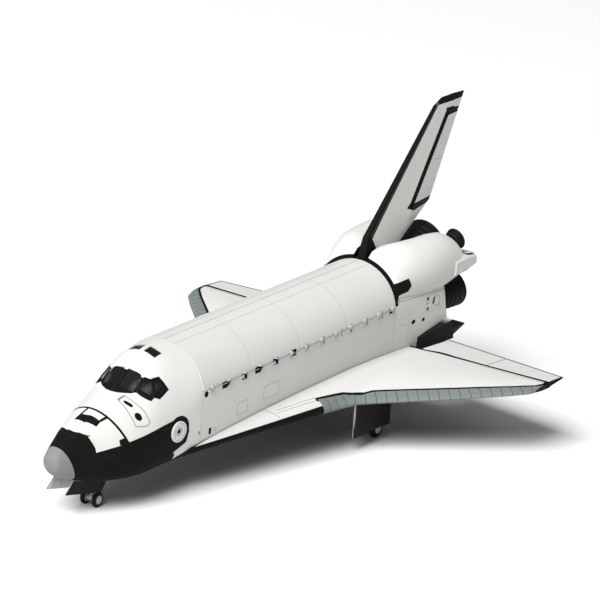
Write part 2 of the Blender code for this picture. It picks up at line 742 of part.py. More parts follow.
def make_body_flap():
    """A wedge across the tail, round at its hinge and thin at its edge."""
    s0, z0 = FLAP_HINGE
    ring = [(FLAP_NOSE_R * math.cos(a), FLAP_NOSE_R * math.sin(a)) for a in NOSE_ANGLES]
    ring += [(FLAP_CHORD, low) for low in FLAP_EDGE]
    c, k = math.cos(FLAP_UP), math.sin(FLAP_UP)
    ring = [(s0 + a * c - b * k, z0 + a * k + b * c) for a, b in ring]
    rings = [[(s, y, z) for s, z in ring] for y in (-FLAP_HALF_SPAN, FLAP_HALF_SPAN)]
    return loft("body_flap", rings, BLACK)


# Engines


def make_bell(name, engine, bell, segments):
    """A hollow bell turned about its tilted axis: it flares with a power of its length."""
    gimbal, pitch, yaw, start = engine
    length, start_r, exit_r, wall = bell
    profile = []
    for k in range(BELL_STEPS + 1):
        share = k / BELL_STEPS
        r = start_r + (exit_r - start_r) * share**BELL_FLARE
        profile.append((start + (length - start) * share, r))
    inner = [(at + (BELL_FLOOR if k == 0 else 0.0), r - wall) for k, (at, r) in enumerate(profile)]
    outline = [(start, 0.0)] + profile + inner[::-1] + [(inner[0][0], 0.0)]
    up, out = math.radians(pitch), math.radians(yaw)
    along = Vector((math.cos(up) * math.cos(out), math.sin(out) * math.cos(up), math.sin(up)))
    across = along.cross(Vector((0, 0, 1))).normalized()
    over = across.cross(along)
    rings = []
    for at, r in outline:
        centre = Vector(gimbal) + along * at
        turn = [2 * math.pi * i / segments for i in range(segments if r else 1)]
        rings.append([tuple(centre + across * (r * math.cos(a)) + over * (r * math.sin(a))) for a in turn])
    maker = bmesh.new()
    skin_rings(maker, rings)
    return finish(name, maker, SILVER)


def make_engines():
    for label, *engine in MAIN_ENGINES:
        make_bell("main_engine_" + label, engine, MAIN_BELL, BELL_SEGMENTS["main"])
    for label, *engine in OMS_ENGINES:
        make_bell("oms_engine_" + label, engine, OMS_BELL, BELL_SEGMENTS["oms"])


# Fin and rudder


def fin_half(s, z):
    """Half the fin's thickness: it grows back to the hinge line and falls to the trailing edge."""
    share = (z - FIN_LE_BASE[1]) / (FIN_TIP_BACK[1] - FIN_LE_BASE[1])
    front = FIN_LE_KNEE[0] + (z - FIN_LE_KNEE[1])
    hinge, back = fin_hinge_s(z), fin_back_s(z)
    most = FIN_HALF_ROOT + (FIN_HALF_TIP - FIN_HALF_ROOT) * share
    if s <= hinge:
        rise = max(0.0, (s - front) / (hinge - front))
        return max(FIN_EDGE, most * rise**0.75)
    return max(FIN_EDGE, most * (back - s) / (back - hinge))


def fin_hinge_s(z):
    (s0, z0), (s1, z1) = RUDDER_HINGE
    return s0 + (z - z0) * (s1 - s0) / (z1 - z0)


def fin_back_s(z):
    (s0, z0), (s1, z1) = RUDDER_TE
    return s0 + (z - z0) * (s1 - s0) / (z1 - z0)


def fin_front_s(z):
    """The leading edge: a steep foot, a 45 degree sweep and a rounded tip."""
    if z < FIN_LE_KNEE[1]:
        share = (z - FIN_LE_BASE[1]) / (FIN_LE_KNEE[1] - FIN_LE_BASE[1])
        return FIN_LE_BASE[0] + share * (FIN_LE_KNEE[0] - FIN_LE_BASE[0])
    sweep = FIN_LE_KNEE[0] + (z - FIN_LE_KNEE[1])
    if z > FIN_LE_TIP[1]:
        return sweep + FIN_TIP_LEAN * (z - FIN_LE_TIP[1])
    return sweep


def make_fin():
    rings = []
    rudder_s, rudder_z = RUDDER_TE[0]
    for z, nose in FIN_RINGS:
        front, hinge, back = fin_front_s(z), fin_hinge_s(z), fin_back_s(z)
        most = fin_half(hinge, z)
        if z < rudder_z:
            share = (z - FIN_LE_BASE[1]) / (rudder_z - FIN_LE_BASE[1])
            back = FIN_ROOT_BACK_S + share * (rudder_s - FIN_ROOT_BACK_S)
            hinge = front + FIN_THICKEST * (back - front)
        profile = [
            (front, 0.3 * nose),
            (front + 0.3 * nose, 0.76 * nose),
            (front + nose, nose),
            (front + nose + 0.45 * (hinge - front - nose), max(nose, 0.68 * most)),
            (hinge, max(nose, most)),
            (back, FIN_EDGE),
        ]
        port = [(s, y, z) for s, y in profile]
        starboard = [(s, -y, z) for s, y in profile[::-1]]
        rings.append(port + starboard)
    fin = loft("vertical_stabiliser", rings, WHITE)
    (s0, z0), (s1, z1) = RUDDER_HINGE
    slope = (s1 - s0) / (z1 - z0)
    cut = []
    for z in (z0 - GAP, z1 + GAP):
        hinge = s0 + (z - z0) * slope
        radius = fin_half(hinge, z) + RUDDER_SLOT
        ring = [(hinge + radius * math.cos(a), radius * math.sin(a), z) for a in NOSE_ANGLES]
        ring += [(hinge + CLEAR, -radius, z), (hinge + CLEAR, radius, z)]
        cut.append(ring)
    return boolean(fin, loft("rudder_cut", cut, WHITE, helper=True), "DIFFERENCE")


def make_rudder():
    """A tapered wedge, round at its hinge."""
    rings = []
    (_, z0), (_, z1) = RUDDER_HINGE
    for z in (z0 - GAP + RUDDER_END_GAPS[0], z1 + GAP - RUDDER_END_GAPS[1]):
        hinge, back = fin_hinge_s(z), fin_back_s(z)
        radius = fin_half(hinge, z)
        ring = [(hinge + radius * math.cos(a), radius * math.sin(a), z) for a in NOSE_ANGLES]
        ring += [(back, -FIN_EDGE, z), (back, FIN_EDGE, z)]
        rings.append(ring)
    return loft("rudder", rings, WHITE)


# Wings, leading edge strips and elevons


def wing_row(y):
    """Leading edge, trailing edge, thickest point, half thickness, mid height and droop at y."""
    rows = np.array(WING)
    front, *rest = (float(np.interp(y, rows[:, 0], rows[:, k])) for k in range(1, rows.shape[1]))
    return front, TE_AT_CENTRE - TE_SWEEP * y, *rest


def wing_half(s, y):
    """Half the wing's thickness: an elliptical nose up to the thickest point, then a falling tail."""
    front, back, thick_at, half, _, _ = wing_row(y)
    u = min(max((s - front) / (back - front), 0.0), 1.0)
    if u < thick_at:
        return half * math.sqrt(1 - (1 - u / thick_at) ** 2)
    tail = (u - thick_at) / (1 - thick_at)
    return half * (1 - (1 - TE_SHARE) * tail**TAIL_POWER)


def wing_mid(s, y):
    """Mid height of the wing's section, which droops towards the leading edge."""
    front, back, thick_at, _, middle, droop = wing_row(y)
    ahead = max(0.0, 1 - (s - front) / (thick_at * (back - front)))
    return middle - droop * min(ahead, 1.0) ** 2


def elevon_hinge(y):
    """Height of the elevon hinge line and the radius of the elevon's round nose at y."""
    heights = [wing_row(at)[4] for at in HINGE_YS]
    radii = [wing_half(HINGE_STATION, at) for at in HINGE_YS]
    slope = (heights[1] - heights[0]) / (HINGE_YS[1] - HINGE_YS[0])
    if y < HINGE_YS[0]:
        return heights[0] + slope * (y - HINGE_YS[0]), radii[0]
    return float(np.interp(y, HINGE_YS, heights)), float(np.interp(y, HINGE_YS, radii))


def wing_ring(y, end, side):
    """The wing's outline at y, from its leading edge back to the station end."""
    front, back, thick_at, _, _, _ = wing_row(y)
    thickest = front + thick_at * (back - front)
    stations = [front + (thickest - front) * k for k in NOSE_SHARES]
    stations = [s for s in stations if s < end]
    stations += [thickest + (end - thickest) * k for k in TAIL_SHARES]
    upper = [(s, side * y, wing_mid(s, y) + wing_half(s, y)) for s in stations]
    lower = [(s, side * y, wing_mid(s, y) - wing_half(s, y)) for s in stations[1:]]
    return upper + lower[::-1]


def strip_prism(name, side, grow):
    """A plan-view helper: the strip's back edge, then round well ahead of the wing."""
    back = [(wing_row(y)[0] + STRIP_DEPTH, y) for y in STRIP_YS]
    beyond = 2 * CLEAR + GAP
    outline = list(STRIP_INNER) + back + [(back[-1][0], beyond), (STRIP_START, beyond)]
    rings = [[(s, side * y, z) for s, y in grow_outline(outline, grow)] for z in (-CLEAR, 0.0)]
    return loft(name, rings, GREY, helper=True)


def make_wing(side, label):
    ys = [row[0] for row in WING]
    wing = loft("wing_" + label, [wing_ring(y, HINGE_STATION, side) for y in ys], WHITE)
    turn = [2 * math.pi * i / COVE_SEGMENTS for i in range(COVE_SEGMENTS)]
    cone = []
    for y in (WING[0][0] - 0.9,) + HINGE_YS + (WING[-1][0] + 0.6,):
        middle, r = elevon_hinge(y)
        r += COVE_GAP
        cone.append([(HINGE_STATION + r * math.cos(a), side * y, middle + r * math.sin(a)) for a in turn])
    boolean(wing, loft("cove_" + label, cone, WHITE, helper=True), "DIFFERENCE")
    boolean(wing, strip_prism("strip_pocket_" + label, side, GAP), "DIFFERENCE")
    (s0, y0, z0), (s1, y1, z1) = MAIN_WELL
    lanes = sorted((side * y0, side * y1))
    well = box("main_well_" + label, (s0, lanes[0], z0), (s1, lanes[1], z1))
    boolean(wing, well, "DIFFERENCE")
    strip = loft("leading_edge_" + label, [wing_ring(y, HINGE_STATION, side) for y in ys], GREY)
    boolean(strip, strip_prism("strip_limits_" + label, side, 0.0), "INTERSECT")
    return wing, strip


def make_elevon(side, label, place, start, end):
    """A tapered wedge behind the wing, round at its hinge, between two y stations."""
    rings = []
    for y in (start, end):
        middle, radius = elevon_hinge(y)
        back = TE_AT_CENTRE - TE_SWEEP * y
        turn = [(math.cos(a), math.sin(a)) for a in NOSE_ANGLES]
        outline = [(HINGE_STATION + radius * c, middle + radius * k) for c, k in turn]
        outline += [(back, middle - ELEVON_EDGE), (back, middle + ELEVON_EDGE)]
        rings.append([(s, side * y, z) for s, z in outline])
    return loft("elevon_" + place + "_" + label, rings, WHITE)


# Landing gear


def tube_rings(start, end, radius, segments=12):
    """Rings of a straight round bar between two airframe points."""
    a, b = Vector(start), Vector(end)
    along = (b - a).normalized()
    side = along.cross(Vector((0, 0, 1)))
    if side.length < 0.1:
        side = along.cross(Vector((0, 1, 0)))
    side.normalize()
    other = along.cross(side)
    turn = [2 * math.pi * i / segments for i in range(segments)]
    round_it = [side * (radius * math.cos(angle)) + other * (radius * math.sin(angle)) for angle in turn]
    return [[tuple(centre + out) for out in round_it] for centre in (a, b)]


def make_leg(name, top, axle, brace_top, strut):
    """A strut with a cross barrel for the axle, and a brace up to the airframe."""
    radius, barrel_r, barrel_w, bore_r = strut
    leg = loft(name, tube_rings(top, axle, radius), SILVER)
    joint = (axle[0], axle[1], axle[2] + BRACE_JOINT * (top[2] - axle[2]))
    bar = tube_rings(brace_top, joint, radius * BRACE_SHARE, 8)
    brace = loft(name + "_brace", bar, SILVER, helper=True)
    boolean(leg, brace, "UNION")
    left = (axle[0], axle[1] - barrel_w / 2, axle[2])
    right = (axle[0], axle[1] + barrel_w / 2, axle[2])
    barrel = loft(name + "_barrel", tube_rings(left, right, barrel_r, 16), SILVER, helper=True)
    boolean(leg, barrel, "UNION")
    far_left = (axle[0], axle[1] - barrel_w, axle[2])
    far_right = (axle[0], axle[1] + barrel_w, axle[2])
    bore = loft(name + "_bore", tube_rings(far_left, far_right, bore_r, 16), SILVER, helper=True)
    return boolean(leg, bore, "DIFFERENCE")


def make_wheels(name, axle, track, radius, width, axle_r):
    """Twin wheels turned in one piece with their axle: half profile from the centre out, as (y, r)."""
    inner, outer = track / 2 - width / 2, track / 2 + width / 2
    soft = width * TYRE_SHOULDER
    hub_r, dish_r, dish = radius * HUB_SHARE, radius * DISH_SHARE, width * DISH_DEPTH
    half = [
        (inner, axle_r),
        (inner, radius - soft),
        (inner + soft, radius),
        (outer - soft, radius),
        (outer, radius - soft),
        (outer, hub_r),
        (outer - dish, dish_r),
        (outer - dish, 0.0),
    ]
    outline = [(-y, r) for y, r in half[::-1]] + half
    rings = []
    for y, r in outline:
        turn = [2 * math.pi * (i + 0.5) / WHEEL_SEGMENTS for i in range(WHEEL_SEGMENTS if r else 1)]
        rings.append([(axle[0] + r * math.cos(a), axle[1] + y, axle[2] + r * math.sin(a)) for a in turn])
    maker = bmesh.new()
    skin_rings(maker, rings)
    return finish(name, maker, TYRE)


def make_gear_door(name, side, y_inner, thick, corners):
    """A flat panel hanging on edge, drawn by its corners (s, z) in side view."""
    rings = [[(s, side * y, z) for s, z in corners] for y in (y_inner, y_inner + thick)]
    return loft(name, rings, BLACK)


def nose_door_outline():
    top = [(s, belly_z(s, NOSE_DOOR_Y) - GAP) for s in NOSE_DOOR_TOP]
    return top + list(NOSE_DOOR_LOW)


def main_door_outline():
    """Its top edge keeps a gap under the wing's skin at both faces of the panel."""
    top = []
    for s in MAIN_DOOR_TOP:
        low = min(wing_mid(s, y) - wing_half(s, y) for y in (MAIN_DOOR_Y, MAIN_DOOR_Y + MAIN_DOOR_T))
        top.append((s, low - GAP))
    return top + list(MAIN_DOOR_LOW)


def make_gear():
    axle = (NOSE_AXLE_S, 0.0, NOSE_AXLE_Z)
    make_leg("nose_gear_leg", NOSE_LEG_TOP, axle, NOSE_BRACE_TOP, NOSE_STRUT)
    make_wheels("nose_wheels", axle, NOSE_TRACK, NOSE_WHEEL_R, NOSE_WHEEL_W, NOSE_AXLE_R)
    for side, label in ((1, "left"), (-1, "right")):
        make_gear_door("nose_gear_door_" + label, side, NOSE_DOOR_Y, NOSE_DOOR_T, nose_door_outline())
        axle = (MAIN_AXLE_S, side * MAIN_GEAR_Y, MAIN_AXLE_Z)
        top = (MAIN_LEG_TOP[0], side * MAIN_GEAR_Y, MAIN_LEG_TOP[1])
        brace = (MAIN_BRACE_TOP[0], side * MAIN_GEAR_Y, MAIN_BRACE_TOP[1])
        make_leg("main_gear_leg_" + label, top, axle, brace, MAIN_STRUT)
        make_wheels("main_wheels_" + label, axle, MAIN_TRACK, MAIN_WHEEL_R, MAIN_WHEEL_W, MAIN_AXLE_R)
        make_gear_door("main_gear_door_" + label, side, MAIN_DOOR_Y, MAIN_DOOR_T, main_door_outline())


def build():
    make_forward_fuselage()
    make_windows()
    make_hatch()
    make_bulkhead()
    make_mid_fuselage()
    make_aft_fuselage()
    make_base()
    make_body_flap()
    make_engines()
    make_fin()
    make_rudder()
    for side, label in ((1, "left"), (-1, "right")):
        make_bay_door(side, label)
        make_pod(side, label)
        make_wing(side, label)
        for place, start, end in ELEVONS:
            make_elevon(side, label, place, start, end)
    make_gear()


build()
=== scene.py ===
# %% [markdown]
# A space shuttle model on its wheels
#
# The packed solids already stand on the floor in metres, with +X towards the nose. This notebook dresses
# them: it paints each piece with procedural materials, adds the small parts that a kit has as separate
# mouldings, and sets up a plain white studio. Everything new is worked out with numpy and rides on one of
# the model's bodies.

# %% Load the packed model
import math

import bpy
import numpy as np
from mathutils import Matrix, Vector


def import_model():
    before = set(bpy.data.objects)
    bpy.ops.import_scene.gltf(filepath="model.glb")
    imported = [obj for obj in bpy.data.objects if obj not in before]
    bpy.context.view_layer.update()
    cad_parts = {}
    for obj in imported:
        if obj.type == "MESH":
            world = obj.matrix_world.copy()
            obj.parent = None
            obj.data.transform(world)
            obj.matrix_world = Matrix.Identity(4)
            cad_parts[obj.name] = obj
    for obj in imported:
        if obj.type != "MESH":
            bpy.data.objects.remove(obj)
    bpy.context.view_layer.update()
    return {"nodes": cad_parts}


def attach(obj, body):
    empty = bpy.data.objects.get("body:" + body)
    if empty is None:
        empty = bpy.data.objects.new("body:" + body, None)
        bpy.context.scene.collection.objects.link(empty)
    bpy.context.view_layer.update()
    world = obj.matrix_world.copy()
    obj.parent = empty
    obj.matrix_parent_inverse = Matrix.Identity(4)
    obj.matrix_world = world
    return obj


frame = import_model()
NODES = frame["nodes"]

# %% [markdown]
# The airframe's own frame
#
# A builder draws an aircraft by stations. Here s runs aft, y to port and z up, in millimetres, and the
# whole airframe is pitched 3.45 degrees nose down on its wheels. One function turns such places into the
# world, so that every new piece can be drawn where a plan of the aircraft would have it.

# %% Places on the airframe
MM = 0.001
PITCH = math.radians(3.45)
DATUM = (0.180263, 0.0, 0.048579)


def world(points):
    """Airframe millimetres (s, y, z) to world metres: turn by the pitch about y, then move to the datum."""
    p = np.asarray(points, float)
    x, z = -p[..., 0] * MM, p[..., 2] * MM
    c, k = math.cos(PITCH), math.sin(PITCH)
    return np.stack([x * c + z * k + DATUM[0], p[..., 1] * MM + DATUM[1], z * c - x * k + DATUM[2]], axis=-1)


print("nose tip at", np.round(world((-5.4, 0, -16.3)), 4))

# %% [markdown]
# The camera
#
# The photograph looks down on the port bow through a long lens, so that near and far parts keep almost the
# same size. The camera's place and its turns about x, y and z were solved from the stations of the windows,
# fin, wing tips and wheels in the picture. Setting it by eye would leave the parallax between the wings
# wrong.

# %% Camera
camera_data = bpy.data.cameras.new("studio_camera")
camera_data.sensor_width = 36.0
camera_data.lens = 181.62
camera_data.clip_start = 0.05
camera = bpy.data.objects.new("studio_camera", camera_data)
bpy.context.scene.collection.objects.link(camera)
camera.location = (1.323467, 0.865206, 0.535589)
camera.rotation_euler = [math.radians(angle) for angle in (73.996357, -5.567479, 124.162498)]
bpy.context.scene.camera = camera
print("lens", camera_data.lens, "mm, distance", round(camera.location.length, 2), "m")

# %% [markdown]
# The studio
#
# The photograph has a bare white background, and one shadow close under the model that reaches back past
# the wing tip. Several small lamps would give several shadows. So the key is one large soft light, high and
# ahead of the nose, and a weaker bright world fills the sides. The paper is lit to pure white, while the
# paint's own white is a little darker, as a photographer exposes such a picture.

# %% Background and key light
WORLD_STRENGTH = 0.2
KEY_WATTS = 2600

scene = bpy.context.scene
scene.view_settings.view_transform = "Standard"
scene.view_settings.look = "None"
studio = bpy.data.worlds.new("studio")
scene.world = studio
studio.use_nodes = True
studio.node_tree.nodes["Background"].inputs["Color"].default_value = (1.0, 1.0, 1.0, 1.0)
studio.node_tree.nodes["Background"].inputs["Strength"].default_value = WORLD_STRENGTH


def area_light(name, place, target, size, watts):
    """A soft light of some width and height at a place, turned to look at a target."""
    lamp = bpy.data.lights.new(name, "AREA")
    lamp.shape = "RECTANGLE"
    lamp.size, lamp.size_y = size
    lamp.energy = watts
    holder = bpy.data.objects.new(name, lamp)
    scene.collection.objects.link(holder)
    holder.location = place
    holder.rotation_euler = (Vector(target) - Vector(place)).to_track_quat("-Z", "Y").to_euler()


area_light("key_light", (9.0, 1.0, 8.9), (0.0, 0.0, 0.05), (6.8, 6.4), KEY_WATTS)
print("key light", KEY_WATTS, "W, world", WORLD_STRENGTH)

# %% Paper floor
PAPER_HALF = 3.0
PAPER_WHITE = (0.95, 0.95, 0.95, 1.0)


def paper_floor():
    """One flat square under the model, from -half to half both ways."""
    half = PAPER_HALF
    corners = [(-half, -half, 0.0), (half, -half, 0.0), (half, half, 0.0), (-half, half, 0.0)]
    mesh = bpy.data.meshes.new("floor")
    mesh.from_pydata(corners, [], [(0, 1, 2, 3)])
    made = bpy.data.objects.new("floor", mesh)
    scene.collection.objects.link(made)
    paper = bpy.data.materials.new("white_paper")
    paper.use_nodes = True
    paper.node_tree.nodes["Principled BSDF"].inputs["Base Color"].default_value = PAPER_WHITE
    paper.node_tree.nodes["Principled BSDF"].inputs["Roughness"].default_value = 0.9
    mesh.materials.append(paper)


paper_floor()
print("paper", 2 * PAPER_HALF, "m square")

# %% [markdown]
# Paint as signed distances
#
# A kit is painted in flat areas with crisp masked edges, and carries fine printed lines. An image texture
# could hold them, but here each area is a signed distance worked out in the shader: negative inside,
# positive outside, in millimetres of the airframe. A narrow ramp turns the distance into a mask, so the
# edge stays sharp at any zoom. The small class below lets Python's own + - * write the Math nodes.

# %% Numbers that vary over a surface


class Field:
    """A number at each point of a surface, held as a node socket. Arithmetic on it adds Math nodes."""

    def __init__(self, sheet, socket):
        self.sheet, self.socket = sheet, socket

    def math(self, operation, *others, clamp=False):
        """The operation of a Math node on this number and others."""
        return self.sheet.math(operation, self, *others, clamp=clamp)

    def __add__(self, other):
        return self.math("ADD", other)

    def __sub__(self, other):
        return self.math("SUBTRACT", other)

    def __rsub__(self, other):
        return self.sheet.math("SUBTRACT", other, self)

    def __mul__(self, other):
        return self.math("MULTIPLY", other)

    def __neg__(self):
        return self.math("MULTIPLY", -1.0)

    def __abs__(self):
        return self.math("ABSOLUTE")


print("field arithmetic: + - * and abs")

# %% Materials that know the airframe's millimetres


class Sheet:
    """One procedural material, with the airframe's own millimetres ready as fields s, y, z and side = |y|."""

    def __init__(self, name):
        self.material = bpy.data.materials.new(name)
        self.material.use_nodes = True
        self.tree = self.material.node_tree
        self.shader = self.tree.nodes["Principled BSDF"]
        coordinates = self.tree.nodes.new("ShaderNodeTexCoord")
        mapping = self.tree.nodes.new("ShaderNodeMapping")
        mapping.vector_type = "TEXTURE"
        mapping.inputs["Location"].default_value = DATUM
        mapping.inputs["Rotation"].default_value = (0.0, PITCH, 0.0)
        mapping.inputs["Scale"].default_value = (-MM, MM, MM)
        self.tree.links.new(coordinates.outputs["Object"], mapping.inputs["Vector"])
        split = self.tree.nodes.new("ShaderNodeSeparateXYZ")
        self.tree.links.new(mapping.outputs[0], split.inputs[0])
        self.place = mapping.outputs[0]
        self.s, self.y, self.z = (Field(self, socket) for socket in split.outputs)
        self.side = abs(self.y)

    def feed(self, slot, value):
        """Gives an input a constant or links a field to it."""
        if isinstance(value, Field):
            self.tree.links.new(value.socket, slot)
        else:
            slot.default_value = value

    def math(self, operation, *values, clamp=False):
        """A Math node with its inputs fed, as a field."""
        node = self.tree.nodes.new("ShaderNodeMath")
        node.operation = operation
        node.use_clamp = clamp
        for slot, value in zip(node.inputs, values):
            self.feed(slot, value)
        return Field(self, node.outputs[0])

    def vector(self, operation, *values, out=0):
        """A Vector Math node; plain tuples and sockets may be mixed."""
        node = self.tree.nodes.new("ShaderNodeVectorMath")
        node.operation = operation
        slots = [node.inputs[0], node.inputs["Scale"]] if operation == "SCALE" else node.inputs
        for slot, value in zip(slots, values):
            if isinstance(value, (Field, tuple, float)):
                self.feed(slot, value)
            else:
                self.tree.links.new(value, slot)
        return node.outputs[out]

    def noise(self, size, detail=2.0):
        """Smooth random values from 0 to 1 with features about that many millimetres across."""
        node = self.tree.nodes.new("ShaderNodeTexNoise")
        node.inputs["Scale"].default_value = 1.0 / size
        node.inputs["Detail"].default_value = detail
        self.tree.links.new(self.place, node.inputs["Vector"])
        return Field(self, node.outputs["Fac"])


print("sheets read stations s, y and z")

# %% Joining distances and turning them into masks
BLUR = 0.14


def union(first, *others):
    """Where any of the shapes is: the least of their distances."""
    for other in others:
        first = first.math("MINIMUM", other)
    return first


def overlap(first, *others):
    """Where all of the shapes are: the greatest of their distances."""
    for other in others:
        first = first.math("MAXIMUM", other)
    return first


def inside(distance, blur=BLUR):
    """Turns a distance into a mask: 1 inside, 0 outside, with a soft edge that many millimetres wide."""
    return distance.math("MULTIPLY_ADD", -1.0 / blur, 0.5, clamp=True)


def strip(field, low, high):
    """Between two values of one field: how far from the middle, less half the width."""
    return abs(field - (low + high) / 2) - (high - low) / 2


def repeat(field, pitch, width):
    """A line at every multiple of the pitch: a triangle wave less half the line's width."""
    return field.math("PINGPONG", pitch / 2) - width / 2


print("masks fade over", BLUR, "mm")

# Curves could be projected on the mesh, but they would have to be cut again for each piece. A distance
# formula needs no geometry: a box, a disc, a line and a convex polygon draw all that the paint needs.

# %% Box, frame, disc, ring, polygon and line


class View:
    """A flat view of the airframe, such as its side (s, z) or its plan (s, |y|), to draw shapes on."""

    def __init__(self, across, up):
        self.sheet, self.across, self.up = across.sheet, across, up
        join = self.sheet.tree.nodes.new("ShaderNodeCombineXYZ")
        self.sheet.feed(join.inputs[0], across)
        self.sheet.feed(join.inputs[1], up)
        self.place = join.outputs[0]

    def box(self, low, high):
        """A box between two corners: the greater of its two strips."""
        return overlap(strip(self.across, low[0], high[0]), strip(self.up, low[1], high[1]))

    def frame(self, low, high, width):
        """The outline of a box: the distance from its edge, less half the line's width."""
        return abs(self.box(low, high)) - width / 2

    def disc(self, centre, radius):
        """A disc: the distance from its centre, less its radius."""
        return Field(self.sheet, self.sheet.vector("DISTANCE", self.place, (*centre, 0.0), out=1)) - radius

    def ring(self, centre, radius, width):
        """A round line: the distance from the disc's edge, less half the line's width."""
        return abs(self.disc(centre, radius)) - width / 2

    def below(self, start, end):
        """The side to the right of a line from start to end, where the distance is negative."""
        run = np.subtract(end, start)
        normal = np.array((-run[1], run[0])) / np.hypot(*run)
        dot = Field(self.sheet, self.sheet.vector("DOT_PRODUCT", self.place, (*normal.tolist(), 0.0), out=1))
        return dot - float(normal @ np.array(start))

    def polygon(self, *corners):
        """A convex shape with its corners clockwise: the greatest distance beyond any edge."""
        return overlap(*(self.below(a, b) for a, b in zip(corners, corners[1:] + corners[:1])))

    def line(self, width, *points):
        """A bent line: the distance to the nearest point of its straight stretches, less half its width."""
        stretches = []
        for start, end in zip(points, points[1:]):
            run = np.subtract(end, start)
            share = tuple((run / (run @ run)).tolist())
            local = self.sheet.vector("SUBTRACT", self.place, (*start, 0.0))
            along = Field(self.sheet, self.sheet.vector("DOT_PRODUCT", local, (*share, 0.0), out=1))
            along = along.math("ADD", 0.0, clamp=True)
            foot = self.sheet.vector("SCALE", (*map(float, run), 0.0), along)
            stretches.append(Field(self.sheet, self.sheet.vector("DISTANCE", local, foot, out=1)))
        return union(*stretches) - width / 2


print("shapes:", [name for name in vars(View) if not name.startswith("_")])

# %% [markdown]
# Plastic and paint
#
# Moulded polystyrene under satin lacquer is even in colour but never perfect: the gloss drifts slightly
# over some centimetres, and the lacquer has a very fine skin like orange peel. Matt black paint is a little
# rougher and shows dust. All paints share one recipe: layers of colour by mask, slow and fine noise in the
# tone and gloss, and bump from the skin and from engraved lines.

# %% Paint recipe
WHITE = (0.64, 0.64, 0.62)
BLACK = (0.0065, 0.0065, 0.006)
PANEL_LINE = (0.33, 0.33, 0.315)
SHINE = 0.06

# MATT is what matt black adds to the roughness; depths and the tile's width are in millimetres.
MATT = 0.30
GROOVE_DEPTH = 0.06
TILE, TILE_JOINT_DEPTH = 1.53, 0.02


def colour_mix(sheet, share, first, second, blend="MIX"):
    """A Mix node for two colours, each a plain colour or a socket."""
    mix = sheet.tree.nodes.new("ShaderNodeMix")
    mix.data_type, mix.blend_type = "RGBA", blend
    sheet.feed(mix.inputs[0], share)
    for slot, colour in zip([slot for slot in mix.inputs if slot.type == "RGBA"], (first, second)):
        if isinstance(colour, tuple):
            slot.default_value = (*colour, 1.0)
        else:
            sheet.tree.links.new(colour, slot)
    return next(slot for slot in mix.outputs if slot.type == "RGBA")


def layered(sheet, base, layers):
    """Lays colours over the base, each where its mask is 1."""
    for mask, colour in layers:
        base = colour_mix(sheet, mask, base, colour)
    return base


def engraved(sheet, height, rough, grooves, tiles):
    """Cuts grooves and tile joints into the height, and roughens the grooves."""
    if grooves is not None:
        height = height - grooves * GROOVE_DEPTH
        rough = rough + grooves * 0.15
    if tiles is not None:
        joint = union(repeat(sheet.s, TILE, 0.10), repeat(sheet.y, TILE, 0.10))
        height = height - inside(joint, 0.12) * tiles * TILE_JOINT_DEPTH
    return height, rough


def coat(sheet, base, layers=(), dark=None, grooves=None, gloss=0.36, skin=0.010, tiles=None, shine=SHINE):
    """Finishes a sheet: colour layers, drifting tone and gloss, and bump from skin, grooves and tile joints.

    dark is the mask of matt black areas, grooves that of engraved lines, and tiles that of tiled areas.
    """
    surface = sheet.shader.inputs
    surface["Specular IOR Level"].default_value = shine
    slow, fine = sheet.noise(14.0), sheet.noise(0.45, 3.0)
    tone = slow.math("MULTIPLY_ADD", 0.05, 0.955) + fine * 0.03
    speckle = [(fine * 0.15, tuple(0.85 * c for c in base))]
    colour = layered(sheet, base, list(layers) or speckle)
    sheet.tree.links.new(colour_mix(sheet, 1.0, colour, tone.socket, "MULTIPLY"), surface["Base Color"])
    rough = slow.math("MULTIPLY_ADD", 0.10, gloss - 0.05) + fine * 0.06
    if dark is not None:
        rough = rough + dark * MATT
    height, rough = engraved(sheet, fine * skin, rough, grooves, tiles)
    sheet.feed(surface["Roughness"], rough.math("ADD", 0.0, clamp=True))
    bump = sheet.tree.nodes.new("ShaderNodeBump")
    bump.inputs["Distance"].default_value = MM
    bump.inputs["Strength"].default_value = 0.8
    sheet.feed(bump.inputs["Height"], height)
    sheet.tree.links.new(bump.outputs[0], surface["Normal"])
    return sheet.material


print("coat: white", WHITE, "black", BLACK)

# %% Putting paint on the solids


def wear_coat(names, material):
    """Puts one material on some packed solids."""
    for name in names:
        slots = NODES[name].data.materials
        slots.clear()
        slots.append(material)
    print(material.name, "on", ", ".join(names))


def both_sides(*stems):
    """The names of mirrored pieces, port first."""
    return [stem + side for stem in stems for side in ("_left", "_right")]


print("mirrored names:", both_sides("wing"))

# %% [markdown]
# Surfaces from grids
#
# The small mouldings of a kit, its pipes, rims, nozzles and panels, are one idea in many sizes: a grid of
# points with a quad between each four neighbours. Curves with a bevel or a spun profile could make most of
# them, but a grid worked out with numpy shows its formula, keeps its faces in order and needs no clean-up.
# The volume that the faces enclose has a sign, which tells whether they point outwards.

# %% Putting a surface in the scene
CREASE = math.radians(40)
NO_FANS = np.empty((0, 3), int)


def put_surface(name, points, quads, fans, paint, body):
    """Makes the mesh and lets it ride on a body; faces that enclose a negative volume are all turned."""
    triangles = np.concatenate([quads[:, :3], quads[:, [0, 2, 3]], fans])
    a, b, c = (points[triangles[:, k]] for k in range(3))
    if np.einsum("ij,ij->i", a, np.cross(b, c)).sum() < 0:
        quads, fans = quads[:, ::-1], fans[:, ::-1]
    mesh = bpy.data.meshes.new(name)
    mesh.from_pydata(points.tolist(), [], quads.tolist() + fans.tolist())
    mesh.shade_smooth()
    mesh.set_sharp_from_angle(angle=CREASE)
    mesh.materials.append(paint)
    made = bpy.data.objects.new(name, mesh)
    scene.collection.objects.link(made)
    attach(made, body)


